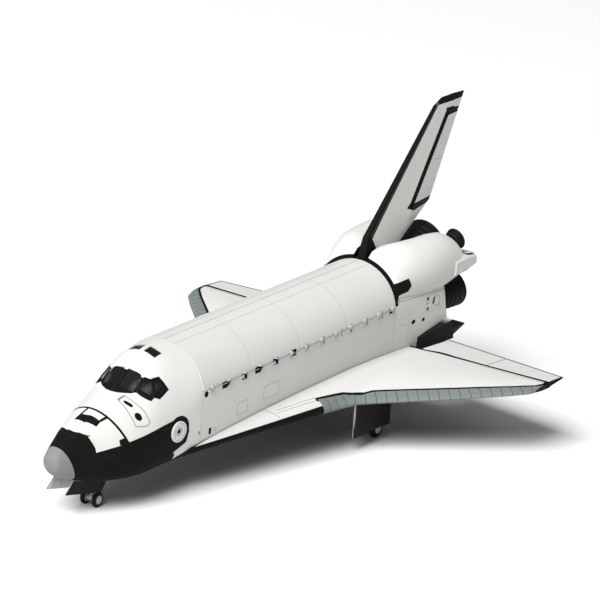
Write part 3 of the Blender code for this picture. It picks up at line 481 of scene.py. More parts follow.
print("edges sharper than", round(math.degrees(CREASE)), "degrees stay crisp")

# %% Skins and slabs


def skin(name, rows, paint, body, loop=False):
    """Rows of rings in airframe millimetres: corner k of each row joins corner k of the next.

    Each end is closed by a fan to its ring's middle, or the last row joins the first when loop is set.
    """
    rows = np.asarray(rows, float)
    count, corners, _ = rows.shape
    index = np.arange(count * corners).reshape(count, corners)
    near = index if loop else index[:-1]
    far = np.roll(index, -1, axis=0) if loop else index[1:]
    quads = np.stack([near, np.roll(near, -1, 1), np.roll(far, -1, 1), far], -1).reshape(-1, 4)
    points = world(rows)
    hub = count * corners
    if loop:
        put_surface(name, points.reshape(-1, 3), quads, NO_FANS, paint, body)
        return
    first, last = index[0], index[-1]
    start = np.stack([np.roll(first, -1), first, np.full(corners, hub)], -1)
    end = np.stack([last, np.roll(last, -1), np.full(corners, hub + 1)], -1)
    points = np.concatenate([points.reshape(-1, 3), points[[0, -1]].mean(axis=1)])
    put_surface(name, points, quads, np.concatenate([start, end]), paint, body)


def slab(name, face, back, paint, body):
    """A thin closed panel between two grids of airframe points: both faces, and a band round the edge."""
    face, back = np.asarray(face, float), np.asarray(back, float)
    rows, columns, _ = face.shape
    count = rows * columns
    grid = np.arange(count).reshape(rows, columns)
    cells = np.stack([grid[:-1, :-1], grid[:-1, 1:], grid[1:, 1:], grid[1:, :-1]], -1).reshape(-1, 4)
    rim = np.concatenate([grid[0, :-1], grid[:-1, -1], grid[-1, :0:-1], grid[:0:-1, 0]])
    onward = np.roll(rim, -1)
    band = np.stack([rim, rim + count, onward + count, onward], -1)
    quads = np.concatenate([cells, cells[:, ::-1] + count, band])
    points = world(np.concatenate([face.reshape(-1, 3), back.reshape(-1, 3)]))
    put_surface(name, points, quads, NO_FANS, paint, body)


print("surface makers: skin, slab")

# %% Pipes and turned shapes


def square_to(runs):
    """Two unit vectors square to each direction: its product with the least aligned axis, and the third."""
    runs = runs / np.linalg.norm(runs, axis=-1, keepdims=True)
    guide = np.eye(3)[np.argmin(np.abs(runs).reshape(-1, 3).sum(axis=0))]
    side = np.cross(runs, guide)
    side /= np.linalg.norm(side, axis=-1, keepdims=True)
    return side, np.cross(side, runs)


def circle(count):
    """Cosines and sines of equal steps once round, as columns ready to multiply vectors."""
    turn = np.linspace(0, 2 * np.pi, count, endpoint=False)
    return np.cos(turn)[:, None], np.sin(turn)[:, None]


def pipe(name, path, radius, paint, body, sides):
    """A round section carried along a path; radius is one number or one for each point of the path."""
    path = np.asarray(path, float)
    side, over = square_to(np.gradient(path, axis=0))
    c, k = circle(sides)
    size = np.broadcast_to(radius, len(path))[:, None, None]
    skin(name, path[:, None] + size * (c * side[:, None] + k * over[:, None]), paint, body)


def turned(name, base, axis, profile, paint, body, sides, loop=False):
    """A profile of (distance along the axis, radius) carried once round the axis through the base."""
    axis = np.asarray(axis, float) / np.linalg.norm(axis)
    side, over = square_to(axis)
    c, k = circle(sides)
    along, r = (column[:, None, None] for column in np.asarray(profile, float).T)
    skin(name, np.asarray(base, float) + along * axis + r * (c * side + k * over), paint, body, loop)


def curve(start, through, end, count):
    """Points on a parabola from start to end, bent towards the middle point: a quadratic blend of three."""
    t = np.linspace(0, 1, count)[:, None]
    start, through, end = (np.asarray(p, float) for p in (start, through, end))
    return start * (1 - t) ** 2 + through * 2 * t * (1 - t) + end * t**2


print("surface makers: pipe, turned, curve")

# %% [markdown]
# Round shapes that look round
#
# The packed solids come as loose triangles with flat shading, so a curved door would show its facets. Their
# meshes stay as they are; a small geometry node group on each one merges the corners, shades the faces
# smooth, and keeps an edge crisp where it turns by more than 34 degrees. A Bevel on every edge would soften
# the thin panels too much.

# %% Merge and shade the solids
CRISP = math.radians(34)
SAME_CORNER = 2e-6


def soften_group():
    """A node group: drop the stored normals, merge the corners, shade smooth except over sharp edges."""
    group = bpy.data.node_groups.new("merge_and_smooth", "GeometryNodeTree")
    group.interface.new_socket("Geometry", in_out="INPUT", socket_type="NodeSocketGeometry")
    group.interface.new_socket("Geometry", in_out="OUTPUT", socket_type="NodeSocketGeometry")
    make = group.nodes.new
    source, result = make("NodeGroupInput"), make("NodeGroupOutput")
    drop, merge = make("GeometryNodeRemoveAttribute"), make("GeometryNodeMergeByDistance")
    faces, edges = make("GeometryNodeSetShadeSmooth"), make("GeometryNodeSetShadeSmooth")
    angle, gentle = make("GeometryNodeInputMeshEdgeAngle"), make("FunctionNodeCompare")
    drop.inputs["Name"].default_value = "custom_normal"
    merge.inputs["Distance"].default_value = SAME_CORNER
    faces.domain, edges.domain = "FACE", "EDGE"
    gentle.data_type, gentle.operation = "FLOAT", "LESS_THAN"
    gentle.inputs[1].default_value = CRISP
    join = group.links.new
    join(source.outputs[0], drop.inputs["Geometry"])
    join(drop.outputs[0], merge.inputs["Geometry"])
    join(merge.outputs[0], faces.inputs["Geometry"])
    join(faces.outputs[0], edges.inputs["Geometry"])
    join(angle.outputs["Unsigned Angle"], gentle.inputs[0])
    join(gentle.outputs[0], edges.inputs["Shade Smooth"])
    join(edges.outputs[0], result.inputs[0])
    return group


merge_and_smooth = soften_group()
for node in NODES.values():
    node.modifiers.new("merge_and_smooth", "NODES").node_group = merge_and_smooth
    weighted = node.modifiers.new("even_faces", "WEIGHTED_NORMAL")
    weighted.keep_sharp = True
print("smoothed:", len(NODES), "solids")

# %% [markdown]
# Nose cap
#
# On the real orbiter the nose cap is grey reinforced carbon. The model's is a mid grey with a soft sheen. A
# plain grey would look like card, and a photograph of the weave would repeat, so faint bands come from a
# triangle wave.

# %% Nose cap paint
cap = Sheet("carbon_grey")
weave = inside(repeat(cap.z, 0.9, 0.12), 0.3)
wear_coat(["nose_cap"], coat(cap, (0.205, 0.208, 0.205), [(weave * 0.10, (0.13, 0.13, 0.13))], gloss=0.40))

# %% [markdown]
# Forward fuselage
#
# White above, black tiles below. The black runs round the nose ahead of the thruster module, along the
# cheek to the hatch, round it in a thick ring, and back under the chine. Splitting the moulding at these
# edges would add pieces that no kit has, so they are drawn in side view, which serves both sides because
# the layout uses |y|.

# %% Black tiles of the forward fuselage
MODULE_EDGE = ((24.2, 12.0), (33.0, -11.6))
cabin = Sheet("cabin_paint")
side, face = View(cabin.s, cabin.z), View(cabin.side, cabin.z)


def module_line(view):
    """The thick black line between the thruster module and the cabin, in side view."""
    return abs(view.below(*MODULE_EDGE)) - 0.65


brow = overlap(
    cabin.s - 15.6,
    face.below((0.0, -3.3), (5.1, -4.0)),
    face.below((5.1, -4.0), (9.0, -5.5)),
    union(-cabin.z - 5.8, side.below((14.0, -5.8), (15.9, -13.8))),
)
front_cheek = overlap(side.below((15.6, -13.3), (33.0, -11.3)), cabin.s - 33.5)
cheek = overlap(side.below((33.0, -11.3), (67.0, -6.9)), cabin.s - 66.0)
hatch_ring = side.disc((69.0, -13.8), 7.9)
under_hatch = side.polygon(
    (60.0, -12.0), (77.4, -15.5), (75.3, -21.7), (70.7, -23.4), (65.9, -25.1), (60.0, -26.0)
)
chine_step = overlap(cabin.s - 67.2, cabin.z + 24.0)
chine_edge = union(cabin.z + 30.4, side.below((68.4, -29.3), (79.8, -26.3)), chine_step)
belly = overlap(cabin.z + 26.0, union(cabin.s - 66.4, chine_edge))
low_line = overlap(module_line(side), -cabin.z - 11.6)
black_tiles = union(brow, cheek, front_cheek, hatch_ring, under_hatch, belly, low_line)
print("black tiles end at station 66.4 on the belly")

# %% Star tracker doors and windows
# The tracker doors are on the port side alone. Each window is drawn as its opening and a wider dark frame.
port_only = -cabin.y
ahead_of_roof = cabin.s - 66.0
door_front = side.line(0.42, (39.6, -4.9), (39.4, 1.0), (39.9, 6.2), (44.2, 7.7), (45.7, 4.6))
door_back = side.line(0.42, (45.7, 4.6), (47.5, 1.2), (48.6, -4.6), (46.2, -5.8), (39.6, -4.9))
tracker_doors = overlap(union(door_front, door_back), port_only)
eyes = overlap(union(side.line(1.9, (42.1, 5.1), (42.8, 4.3)), side.disc((43.2, -0.9), 1.85)), port_only)
front_pane = face.polygon((0.35, 17.3), (6.7, 16.8), (8.3, 16.0), (11.2, 8.9), (9.4, 8.7), (0.35, 8.9))
corner_pane = face.polygon((9.5, 15.1), (14.1, 14.2), (18.2, 4.9), (11.5, 9.3))
quarter_pane = side.polygon((59.0, 14.6), (62.8, 15.0), (65.2, 8.5), (58.2, 5.0), (55.3, 6.2))
front_frame = face.polygon(
    (-1.0, 17.4), (6.8, 16.9), (8.4, 16.0), (9.9, 13.2), (10.9, 8.9), (9.4, 8.5), (-1.0, 8.6)
)
corner_frame = face.polygon((9.3, 15.2), (14.6, 14.1), (18.4, 6.6), (18.2, 4.9), (10.8, 9.2))
quarter_frame = side.polygon(
    (58.6, 12.2), (59.3, 14.6), (62.8, 15.0), (65.2, 8.5), (58.2, 5.0), (54.6, 6.6), (56.0, 12.0)
)
windscreen = overlap(union(front_pane, corner_pane, quarter_pane), ahead_of_roof)
frames = overlap(union(front_frame, corner_frame, quarter_frame), ahead_of_roof)
print("tracker doors, 3 panes a side and their frames drawn")

# %% Forward fuselage paint
FRAME_BLACK = (0.014, 0.014, 0.014)
mark = side.box((84.6, -20.4), (85.9, -18.4))
cabin_joint = overlap(abs(cabin.s - 82.6) - 0.10, -cabin.z - 8.0)
dark_mask = inside(union(black_tiles, eyes, windscreen))
cabin_layers = [
    (inside(tracker_doors), (0.20, 0.20, 0.19)),
    (inside(mark), (0.20, 0.21, 0.05)),
    (inside(frames), FRAME_BLACK),
    (dark_mask, BLACK),
]
engraving = inside(union(tracker_doors, cabin_joint), 0.2)
cabin_coat = coat(cabin, WHITE, cabin_layers, dark=dark_mask, grooves=engraving, tiles=dark_mask)
wear_coat(["forward_fuselage"], cabin_coat)

# %% [markdown]
# Forward thruster module
#
# A separate white moulding let into the nose. It has a thick black line along its back edge, a sunk dark
# panel on top for three upward nozzles, and a small black notch at each lower corner. The panel is not
# mirrored, so it is drawn in plan with a signed y.

# %% Thruster module paint
module = Sheet("module_paint")
side, plan = View(module.s, module.z), View(module.s, module.y)
well = union(
    plan.polygon((17.6, -2.6), (17.8, 2.4), (20.4, 8.7), (25.4, 8.6), (23.2, 3.0), (22.4, -2.8)),
    plan.polygon((17.6, -3.4), (17.6, 3.4), (22.2, 3.0), (22.2, -3.0)),
)
ticks = union(plan.line(1.2, (22.0, -2.4), (27.4, -2.0)), plan.line(1.2, (24.4, 8.3), (28.8, 9.4)))
notch = side.polygon((28.4, -9.4), (31.8, -8.8), (32.8, -12.0), (28.2, -12.0))
dark_mask = inside(union(module_line(side), well, ticks, notch))
module_coat = coat(module, WHITE, [(dark_mask, BLACK)], dark=dark_mask, grooves=inside(well))
wear_coat(["forward_thruster_module"], module_coat)

# %% [markdown]
# Cabin panes
#
# The clear moulding behind the windows is smoked almost black, with a polished surface. Real glass would
# show the empty cabin and cost light paths, so the panes are opaque and glossy. A soft pale patch, like a
# studio window, lies on two of them. It is painted in, because no lamp stands where it would have to.

# %% Pane paint
pane = Sheet("smoked_pane_gloss")
face = View(pane.side, pane.z)
reflected = union(face.disc((9.2, 11.2), 1.3), face.disc((14.2, 9.6), 1.5))
pane_layers = [
    (pane.noise(9.0, 1.0) * 0.3, (0.012, 0.013, 0.014)),
    (inside(reflected, 4.0) * 0.8, (0.075, 0.088, 0.090)),
]
pane_coat = coat(pane, (0.006, 0.0065, 0.007), pane_layers, gloss=0.12, skin=0.002, shine=0.25)
wear_coat(["cabin_windows"], pane_coat)

# %% [markdown]
# Crew hatch
#
# The hatch is a white disc with a printed rim, a small round window and a faint yellow handling mark. A
# decal would be an image, so its rings and line are distances from the hatch's middle.

# %% Hatch paint
hatch = Sheet("hatch_paint")
side = View(hatch.s, hatch.z)
rim = side.ring((68.3, -14.1), 4.5, 0.22)
port_rim = side.ring((68.1, -13.8), 2.35, 0.30)
hatch_layers = [
    (inside(union(rim, port_rim)), (0.30, 0.30, 0.28)),
    (inside(side.line(0.5, (65.0, -12.4), (65.4, -16.2))), (0.45, 0.42, 0.16)),
    (inside(side.disc((68.1, -13.8), 1.25)), BLACK),
]
HATCH_PAINT = coat(hatch, WHITE, hatch_layers, grooves=inside(rim))
wear_coat(["crew_hatch"], HATCH_PAINT)

# %% [markdown] Cabin wall  The cabin's aft wall is only seen with the bay doors open. The real one is
# hung with quilted blankets.

# %% Blanket on the cabin wall
blanket = Sheet("bay_blanket")
stitch = union(repeat(blanket.z, 4.0, 0.16), repeat(blanket.y, 4.0, 0.16))
thread = [(inside(stitch), (0.45, 0.45, 0.42))]
blanket_coat = coat(blanket, (0.70, 0.70, 0.66), thread, grooves=inside(stitch, 0.5), gloss=0.6)
wear_coat(["cabin_bulkhead"], blanket_coat)

# %% [markdown]
# Fuselage sides
#
# Along the sill runs a fine line with six black vents forward and small hinge marks aft. Two access panels
# are outlined below. Below the wing root the belly is black. The lines are thinner than a triangle of the
# mesh, so they could not be painted on its faces; a distance keeps them sharp.

# %% Vents and hinge marks
# Station and height of each square vent, and the station of each hinge mark.
VENTS = ((106.3, 1.5), (124.0, 1.7), (136.0, 1.9), (152.7, 2.3), (169.8, 2.7))
HINGE_MARKS = (181.2, 199.0, 216.4, 226.0, 242.0, 257.6, 265.2)
# The hinge eyes are painted mid grey instead of white. This is painted shade, which dims their tops where
# they catch the key light.
HINGE_SHADE_GREY = (0.36, 0.36, 0.35)


def vent_squares(view):
    """The black squares along the hinge line, each centred at a station and a height."""
    return union(*(view.box((s - 2.4, z - 1.8), (s + 2.4, z + 1.8)) for s, z in VENTS))


def hinge_ticks(view, half, low, high):
    """A short upright mark at each hinge, between two heights."""
    return union(*(view.box((s - half, low), (s + half, high)) for s in HINGE_MARKS))


print(len(VENTS), "square vents,", len(HINGE_MARKS), "hinge marks")

# %% Mid fuselage paint
hull = Sheet("hull_paint")
side = View(hull.s, hull.z)
vents = union(side.disc((90.0, 0.7), 1.7), vent_squares(side))
small_panel, large_panel = ((119.0, -19.2), (128.2, -12.5)), ((143.0, -17.0), (156.5, -9.6))
panels = union(side.frame(*small_panel, 0.3), side.frame(*large_panel, 0.3))
handling = side.box((93.7, -22.8), (96.0, -19.2))
handling_lines = union(side.box((97.6, -20.6), (100.6, -20.1)), side.box((97.6, -22.0), (100.6, -21.5)))
sill_line = overlap(abs(hull.z - 1.2) - 0.09, 91.0 - hull.s)
# Painted shade: the hinge eyes are grey, so they look no brighter than the side.
shaded_hinge_eyes = overlap(-hull.side + 26.75, -hull.z + 0.8)
belly = hull.z + 27.0
dark_mask = inside(union(vents, hinge_ticks(side, 0.35, 0.2, 2.6), belly))
hull_layers = [
    (inside(union(panels, sill_line)), PANEL_LINE),
    (inside(handling_lines), (0.35, 0.34, 0.14)),
    (inside(shaded_hinge_eyes), HINGE_SHADE_GREY),
    (dark_mask.math("MAXIMUM", inside(handling)), BLACK),
]
hull_coat = coat(hull, WHITE, hull_layers, dark=dark_mask, grooves=inside(panels, 0.2), tiles=inside(belly))
wear_coat(["mid_fuselage"], hull_coat)

# %% [markdown]
# Bay doors
#
# Each door is a long curved skin with three joints between its panels and a seam where the doors meet.
# Cutting the mesh at the joints would break the smooth shading, so they are faint lines with a groove in
# the bump.

# %% Bay door paint
doors = Sheet("door_paint")
side = View(doors.s, doors.z)
joints = union(*(abs(doors.s - s) - 0.10 for s in (129.8, 175.3, 221.0)))
meeting_edge = abs(doors.z - 24.6) - 0.06
# Painted shade: the hinge eyes are grey, so they look no brighter than the side.
shaded_hinge_eyes = overlap(-doors.side + 26.75, doors.z - 5.2)
door_layers = [
    (inside(joints), PANEL_LINE),
    (inside(meeting_edge) * 0.5, PANEL_LINE),
    (inside(shaded_hinge_eyes), HINGE_SHADE_GREY),
    (inside(union(hinge_ticks(side, 0.3, 2.0, 4.4), vent_squares(side))), BLACK),
]
wear_coat(both_sides("payload_door"), coat(doors, WHITE, door_layers, grooves=inside(joints, 0.2)))

# %% [markdown]
# Aft fuselage
#
# It has a black band round its front edge, a plate with fuel couplings, two round vents and black lower
# corners that flare out beside the body flap. The band is a hoop, so it follows the share of the fuselage's
# ellipse that a point has reached. A band at a fixed height would run off the round top.

# %% Black areas of the aft fuselage
HALF_WIDTH, HALF_HEIGHT = 26.6, 25.5
SHARE_TO_MM = 26.0


def hoop_share(sheet):
    """How far out a point lies, as a share of the fuselage's round top: 1 on its skin, 0 on its axis."""
    across, up = sheet.y * (1 / HALF_WIDTH), sheet.z * (1 / HALF_HEIGHT)
    return (across.math("POWER", 2.0) + up.math("POWER", 2.0)).math("SQRT")


tail = Sheet("tail_paint")
side = View(tail.s, tail.z)
near_skin = hoop_share(tail) * -SHARE_TO_MM + 24.6
band = overlap(tail.s - 274.1, 3.4 - tail.z, near_skin)
fin_foot = overlap(tail.side - 4.6, tail.s - 283.0, 20.0 - tail.z, near_skin)
corner = overlap(side.below((296.3, -20.9), (327.2, -15.7)), 296.3 - tail.s)
belly = tail.z + 27.5
vents = union(side.line(2.5, (290.3, -10.4), (291.5, -10.3)), side.line(2.2, (300.7, -11.3), (301.4, -11.2)))
couplings = union(
    side.disc((304.3, 0.4), 1.05),
    side.disc((304.2, -2.4), 0.55),
    side.disc((304.7, -5.6), 1.05),
    side.line(2.2, (310.3, -2.9), (310.7, -0.9)),
)
dark_mask = inside(union(band, fin_foot, corner, belly, vents, couplings))
print("band to station 274.1, corners from station 296.3")

# %% Aft fuselage paint
plate_edge = side.frame((302.4, -7.6), (319.6, 2.2), 0.22)
plate = union(plate_edge, side.ring((313.6, -2.6), 3.0, 0.3), side.ring((316.0, -5.6), 0.9, 0.25))
pod_line = side.line(0.28, (272.0, 5.2), (316.0, 3.0), (330.0, 2.4))
lower_line = side.line(0.22, (277.0, -9.4), (289.0, -10.0))
faint_joint = overlap(abs(tail.s - 286.0) - 0.08, tail.z - 4.0)
tail_layers = [
    (inside(union(plate, lower_line, faint_joint)), PANEL_LINE),
    (inside(pod_line), (0.18, 0.18, 0.17)),
    (dark_mask, BLACK),
    (inside(corner), (0.016, 0.016, 0.0155)),
]
engraving, tiled = inside(union(plate, pod_line), 0.2), inside(union(corner, belly))
wear_coat(["aft_fuselage"], coat(tail, WHITE, tail_layers, dark=dark_mask, grooves=engraving, tiles=tiled))

# %% [markdown]
# Pods
#
# The pods carry the black band on in front, with a black panel beside it, and have dark slots for small
# nozzles. The band has to meet the one on the fuselage, so both use the same hoop.

# %% Pod paint
pod = Sheet("pod_paint")
side = View(pod.s, pod.z)
band = overlap(pod.s - 274.0, (hoop_share(pod) - 1.085) * SHARE_TO_MM)
foot = overlap(pod.side - 5.0, pod.s - 281.0)
panel = side.polygon((272.0, 16.2), (281.6, 18.2), (284.2, 13.4), (282.2, 10.2), (274.6, 9.2), (272.0, 10.4))
panel = overlap(panel, 20.0 - pod.side)
lower_slot = overlap(side.line(0.9, (332.5, 9.9), (346.5, 12.4)), 27.0 - pod.side)
slots = union(side.line(0.8, (337.5, 20.6), (344.5, 19.4)), lower_slot)
box_joint = overlap(abs(pod.s - 326.5) - 0.08, 27.0 - pod.side)
dark_mask = inside(union(band, foot, panel, slots))
pod_layers = [(inside(box_joint) * 0.6, PANEL_LINE), (dark_mask, BLACK)]
wear_coat(both_sides("oms_pod"), coat(pod, WHITE, pod_layers, dark=dark_mask, grooves=inside(box_joint)))

# %% [markdown]
# Fin and rudder
#
# Both are white with a black leading edge that widens towards the root, a black cap at the tip, and black
# borders along the rudder's hinge and ends. The edges of a swept fin are slanted, so two slanted distances
# are worked out first, from the leading edge and from the hinge, and the borders are strips of them.

# %% Fin paint
HINGE_FOOT, HINGE_TOP = (320.2, 46.4), (354.9, 96.3)
HINGE_SLOPE = (HINGE_TOP[0] - HINGE_FOOT[0]) / (HINGE_TOP[1] - HINGE_FOOT[1])


def aft_of_hinge(sheet):
    """Distance aft of the rudder's hinge line, measured along the airframe."""
    return sheet.s - sheet.z.math("MULTIPLY_ADD", HINGE_SLOPE, HINGE_FOOT[0] - HINGE_FOOT[1] * HINGE_SLOPE)


fin = Sheet("fin_paint")
side = View(fin.s, fin.z)
lead = fin.s - fin.z - 237.8
leading_black = lead + fin.z * 0.055 - 7.9
tip_black = -fin.z + 102.7
hinge_black = overlap(strip(aft_of_hinge(fin), -4.2, 4.0), strip(fin.z, 46.0, 99.4))
top_border = side.polygon((352.0, 99.6), (368.0, 97.6), (368.0, 95.6), (352.0, 95.6))
low_border = side.polygon((314.5, 46.8), (318.5, 49.8), (344.0, 48.0), (344.0, 45.2), (323.0, 43.6))
root_black = side.polygon((270.0, 40.0), (279.4, 37.0), (283.0, 31.0), (284.0, 24.0), (270.0, 24.0))
back_line, front_line = ((322.0, 43.5), (312.8, 32.3)), ((281.5, 36.4), (287.5, 27.0))
skin_lines = union(side.line(0.24, *back_line), side.line(0.2, *front_line))
# A painted highlight: a thin grey line inside the black leading edge, where its rounded front catches the
# light.
painted_highlight_stripe = overlap(abs(lead + fin.z * 0.03 - 4.6) - 0.5, 38.0 - fin.z)
dark_mask = inside(union(leading_black, tip_black, hinge_black, top_border, low_border, root_black))
fin_layers = [
    (inside(skin_lines), PANEL_LINE),
    (dark_mask, BLACK),
    (inside(painted_highlight_stripe, 0.5), (0.085, 0.085, 0.083)),
]
wear_coat(["vertical_stabiliser"], coat(fin, WHITE, fin_layers, dark=dark_mask, grooves=inside(skin_lines)))

# %% Rudder paint
rudder = Sheet("rudder_paint")
halves = View(rudder.s, rudder.z).line(0.3, (333.0, 72.5), (356.5, 68.0))
dark_mask = inside(union(aft_of_hinge(rudder) - 0.9, -rudder.z + 94.6, rudder.z - 48.3))
rudder_layers = [(inside(halves), PANEL_LINE), (dark_mask, BLACK)]
wear_coat(["rudder"], coat(rudder, WHITE, rudder_layers, dark=dark_mask, grooves=inside(halves)))

# %% [markdown]
# Wings
#
# The upper skin is white and everything below the middle of the section is black. A heavy black line
# follows the back of the grey leading edge panels, and thin lines follow the elevon hinge and the trailing
# edge. The plan of (s, |y|) serves both wings, and only the underside needs a height.

# %% Wing paint
# The line along the back of the grey strip, in two runs that meet at the wing's middle.
STRIP_INNER = ((178.0, 38.4), (197.0, 43.4), (213.1, 51.5), (217.9, 56.0), (245.9, 84.0))
STRIP_OUTER = ((245.9, 84.0), (269.9, 108.0), (279.6, 116.5), (289.0, 119.6))
wing = Sheet("wing_paint")
plan = View(wing.s, wing.side)
tip_black = plan.polygon((282.0, 119.4), (296.0, 119.4), (296.0, 116.8), (288.0, 116.4), (282.0, 117.6))
hinge_line = union(strip(wing.s, 288.1, 291.5), plan.line(0.34, (286.9, 74.0), (286.4, 117.0)))
glove_lines = union(
    plan.line(0.4, (142.8, 26.6), (144.9, 36.1)),
    plan.line(0.4, (148.2, 31.8), (177.7, 36.6)),
    plan.line(0.34, (146.5, 33.6), (177.0, 38.4)),
)
panel_lines = union(plan.line(0.16, (197.0, 43.0), (289.0, 43.0)), abs(wing.s - 250.0) - 0.06)

# White ends at the middle of the wing's section, which is level along the glove and rises beyond |y| = 63.
middle = (wing.side * 0.0344).math("ADD", -28.17).math("MAXIMUM", -26.0)
under = wing.z - middle
strip_line = union(plan.line(2.9, *STRIP_INNER), plan.line(2.9, *STRIP_OUTER))
dark_mask = inside(union(strip_line, tip_black, hinge_line, under))
wing_layers = [
    (inside(glove_lines), (0.22, 0.22, 0.21)),
    (inside(panel_lines) * 0.25, PANEL_LINE),
    (dark_mask, BLACK),
]
engraving = inside(glove_lines, 0.2)
wing_coat = coat(wing, WHITE, wing_layers, dark=dark_mask, grooves=engraving, tiles=inside(under))
wear_coat(both_sides("wing"), wing_coat)

# %% Elevon paint
elevon = Sheet("elevon_paint")
trailing_line = -(elevon.s + elevon.side * 0.17733) + 325.6
nose_line = elevon.s - 291.0
under = elevon.z - (elevon.side * 0.0350 - 28.55)
dark_mask = inside(union(trailing_line, nose_line, under, -elevon.side + 117.4))
elevon_coat = coat(elevon, WHITE, [(dark_mask, BLACK)], dark=dark_mask, tiles=dark_mask)
wear_coat(both_sides("elevon_inner", "elevon_outer"), elevon_coat)

# %% [markdown] Leading edge panels  The real edge is made of 22 carbon panels a side. The model paints
# them grey-green, with a dark joint between each pair.

# %% Leading edge paint
PANEL_PITCH = 5.9

# Station plus |y| where the glove ends, and what makes the distances of both runs agree there.
GLOVE_END, WING_START = 246.0, 24.5
edge = Sheet("edge_panel_paint")
on_glove = inside(edge.s + edge.side - GLOVE_END, 1.0)
outer_run = (edge.s + edge.side).math("MULTIPLY_ADD", 0.7071, WING_START)
run = (edge.s - outer_run) * on_glove + outer_run
joint = repeat(run, PANEL_PITCH, 0.36)
edge_layers = [
    (edge.noise(6.0, 1.0) * 0.5, (0.20, 0.215, 0.205)),
    (inside(joint), (0.055, 0.065, 0.062)),
    (inside(-edge.side + 118.3), BLACK),
]
edge_coat = coat(edge, (0.170, 0.200, 0.190), edge_layers, grooves=inside(joint, 0.3), gloss=0.45)
wear_coat(both_sides("leading_edge"), edge_coat)

# %% [markdown]
# Landing gear doors
#
# The gear doors are black outside like the tiles they close, and pale grey inside with moulded ribs. Two
# materials on one door would need its faces sorted. One material does both: it is grey wherever a point is
# nearer to the centreline than a distance that lies between the two faces.

# %% Gear door paint
GEAR_GREY = (0.52, 0.53, 0.52)


def gear_door(name, nodes, inner_face, front):
    """Black outside, grey nearer to the centreline than the inner face's distance, and on the front edge."""
    sheet = Sheet(name)
    grey = union(sheet.side - inner_face, sheet.s - front)
    ribs = inside(overlap(repeat(sheet.s, 6.0, 0.3), sheet.side - inner_face))
    wear_coat(nodes, coat(sheet, BLACK, [(inside(grey), GEAR_GREY), (ribs, (0.3, 0.3, 0.3))], grooves=ribs))


gear_door("nose_door_paint", both_sides("nose_gear_door"), 5.75, 0.0)
gear_door("main_door_paint", both_sides("main_gear_door"), 45.2, 205.55)

# %% [markdown]
# Wheels and legs
#
# Wheels are a single turned moulding: the tyre is painted matt black with grooves round the tread, and the
# hub light grey. Tyre and hub could be two pieces, but one moulding with a round mask edge is how a kit
# does it. The legs are silver grey, with a few worn patches.

# %% Wheel and leg paint
NOSE_AXLE, MAIN_AXLE = (30.6, -46.46), (240.4, -57.5)

# The circle of the hub's holes and one hole, as shares of the hub's radius, and the tread's pitch.
HOLE_CIRCLE, HOLE_RADIUS, TREAD_PITCH = 0.6, 0.176, 0.62
brushed = Sheet("hub_paint")
HUB_PAINT = coat(brushed, GEAR_GREY, [(brushed.noise(0.9, 3.0) * 0.35, (0.42, 0.43, 0.42))], gloss=0.34)


def wheel_coat(name, nodes, axle, hub_radius, tyre_radius, middle):
    """Hub and tyre split by the distance from the axle; six holes in the hub, and grooves round the tread."""
    sheet = Sheet(name)
    side = View(sheet.s, sheet.z)
    hub = side.disc(axle, hub_radius)
    turns = np.arange(6) * math.pi / 3
    places = np.array(axle) + HOLE_CIRCLE * hub_radius * np.stack([np.cos(turns), np.sin(turns)], -1)
    discs = (side.disc(place, HOLE_RADIUS * hub_radius) for place in places.tolist())
    holes = inside(overlap(union(*discs), hub))
    across = abs(sheet.side - middle) if middle else sheet.side
    tread = overlap(repeat(across, TREAD_PITCH, 0.12), -side.disc(axle, tyre_radius - 0.5))
    layers = [(inside(hub), GEAR_GREY), (holes, (0.06, 0.06, 0.06))]
    grooves = inside(tread, 0.1).math("MAXIMUM", holes)
    wear_coat(nodes, coat(sheet, (0.014, 0.014, 0.014), layers, grooves=grooves, gloss=0.55))


wheel_coat("nose_wheel_paint", ["nose_wheels"], NOSE_AXLE, 2.3, 4.05, 0.0)
wheel_coat("main_wheel_paint", both_sides("main_wheels"), MAIN_AXLE, 3.2, 5.65, 34.2)

leg = Sheet("gear_leg_paint")
scuffs = (leg.noise(2.2, 4.0) - 0.56).math("MULTIPLY", 6.0, clamp=True)
leg_coat = coat(leg, GEAR_GREY, [(scuffs * 0.5, (0.30, 0.30, 0.30))], gloss=0.34)
wear_coat(["nose_gear_leg"] + both_sides("main_gear_leg"), leg_coat)

# %% [markdown]
# Engines
#
# The bells are satin black. The real ones are brazed from over a thousand cooling tubes, so a fine ribbing
# round the axis catches the light. Modelled tubes would be far below a pixel. The ribbing is worked out in
# each bell's own frame instead: the angle about the tilted axis gives a triangle wave.

# %% Engine paint
# Each engine: the gimbal its axis passes through, and how far it pitches up and turns to port, in degrees.
ENGINES = {
    "main_engine_upper": ((303.8, 0.0, 11.3), 16.0, 0.0),
    "main_engine_left": ((308.3, 13.5, -12.0), 10.0, 3.5),
    "main_engine_right": ((308.3, -13.5, -12.0), 10.0, -3.5),
    "oms_engine_left": ((319.6, 21.5, 23.2), 15.0, 5.0),
    "oms_engine_right": ((319.6, -21.5, 23.2), 15.0, -5.0),
}
RIBS = 60


def engine_axes(pitch, yaw):
    """Unit vectors along the bell, across it and over it, in airframe axes."""
    up, out = math.radians(pitch), math.radians(yaw)
    along = Vector((math.cos(up) * math.cos(out), math.sin(out) * math.cos(up), math.sin(up)))
    across = along.cross(Vector((0, 0, 1))).normalized()
    return along, across, across.cross(along)


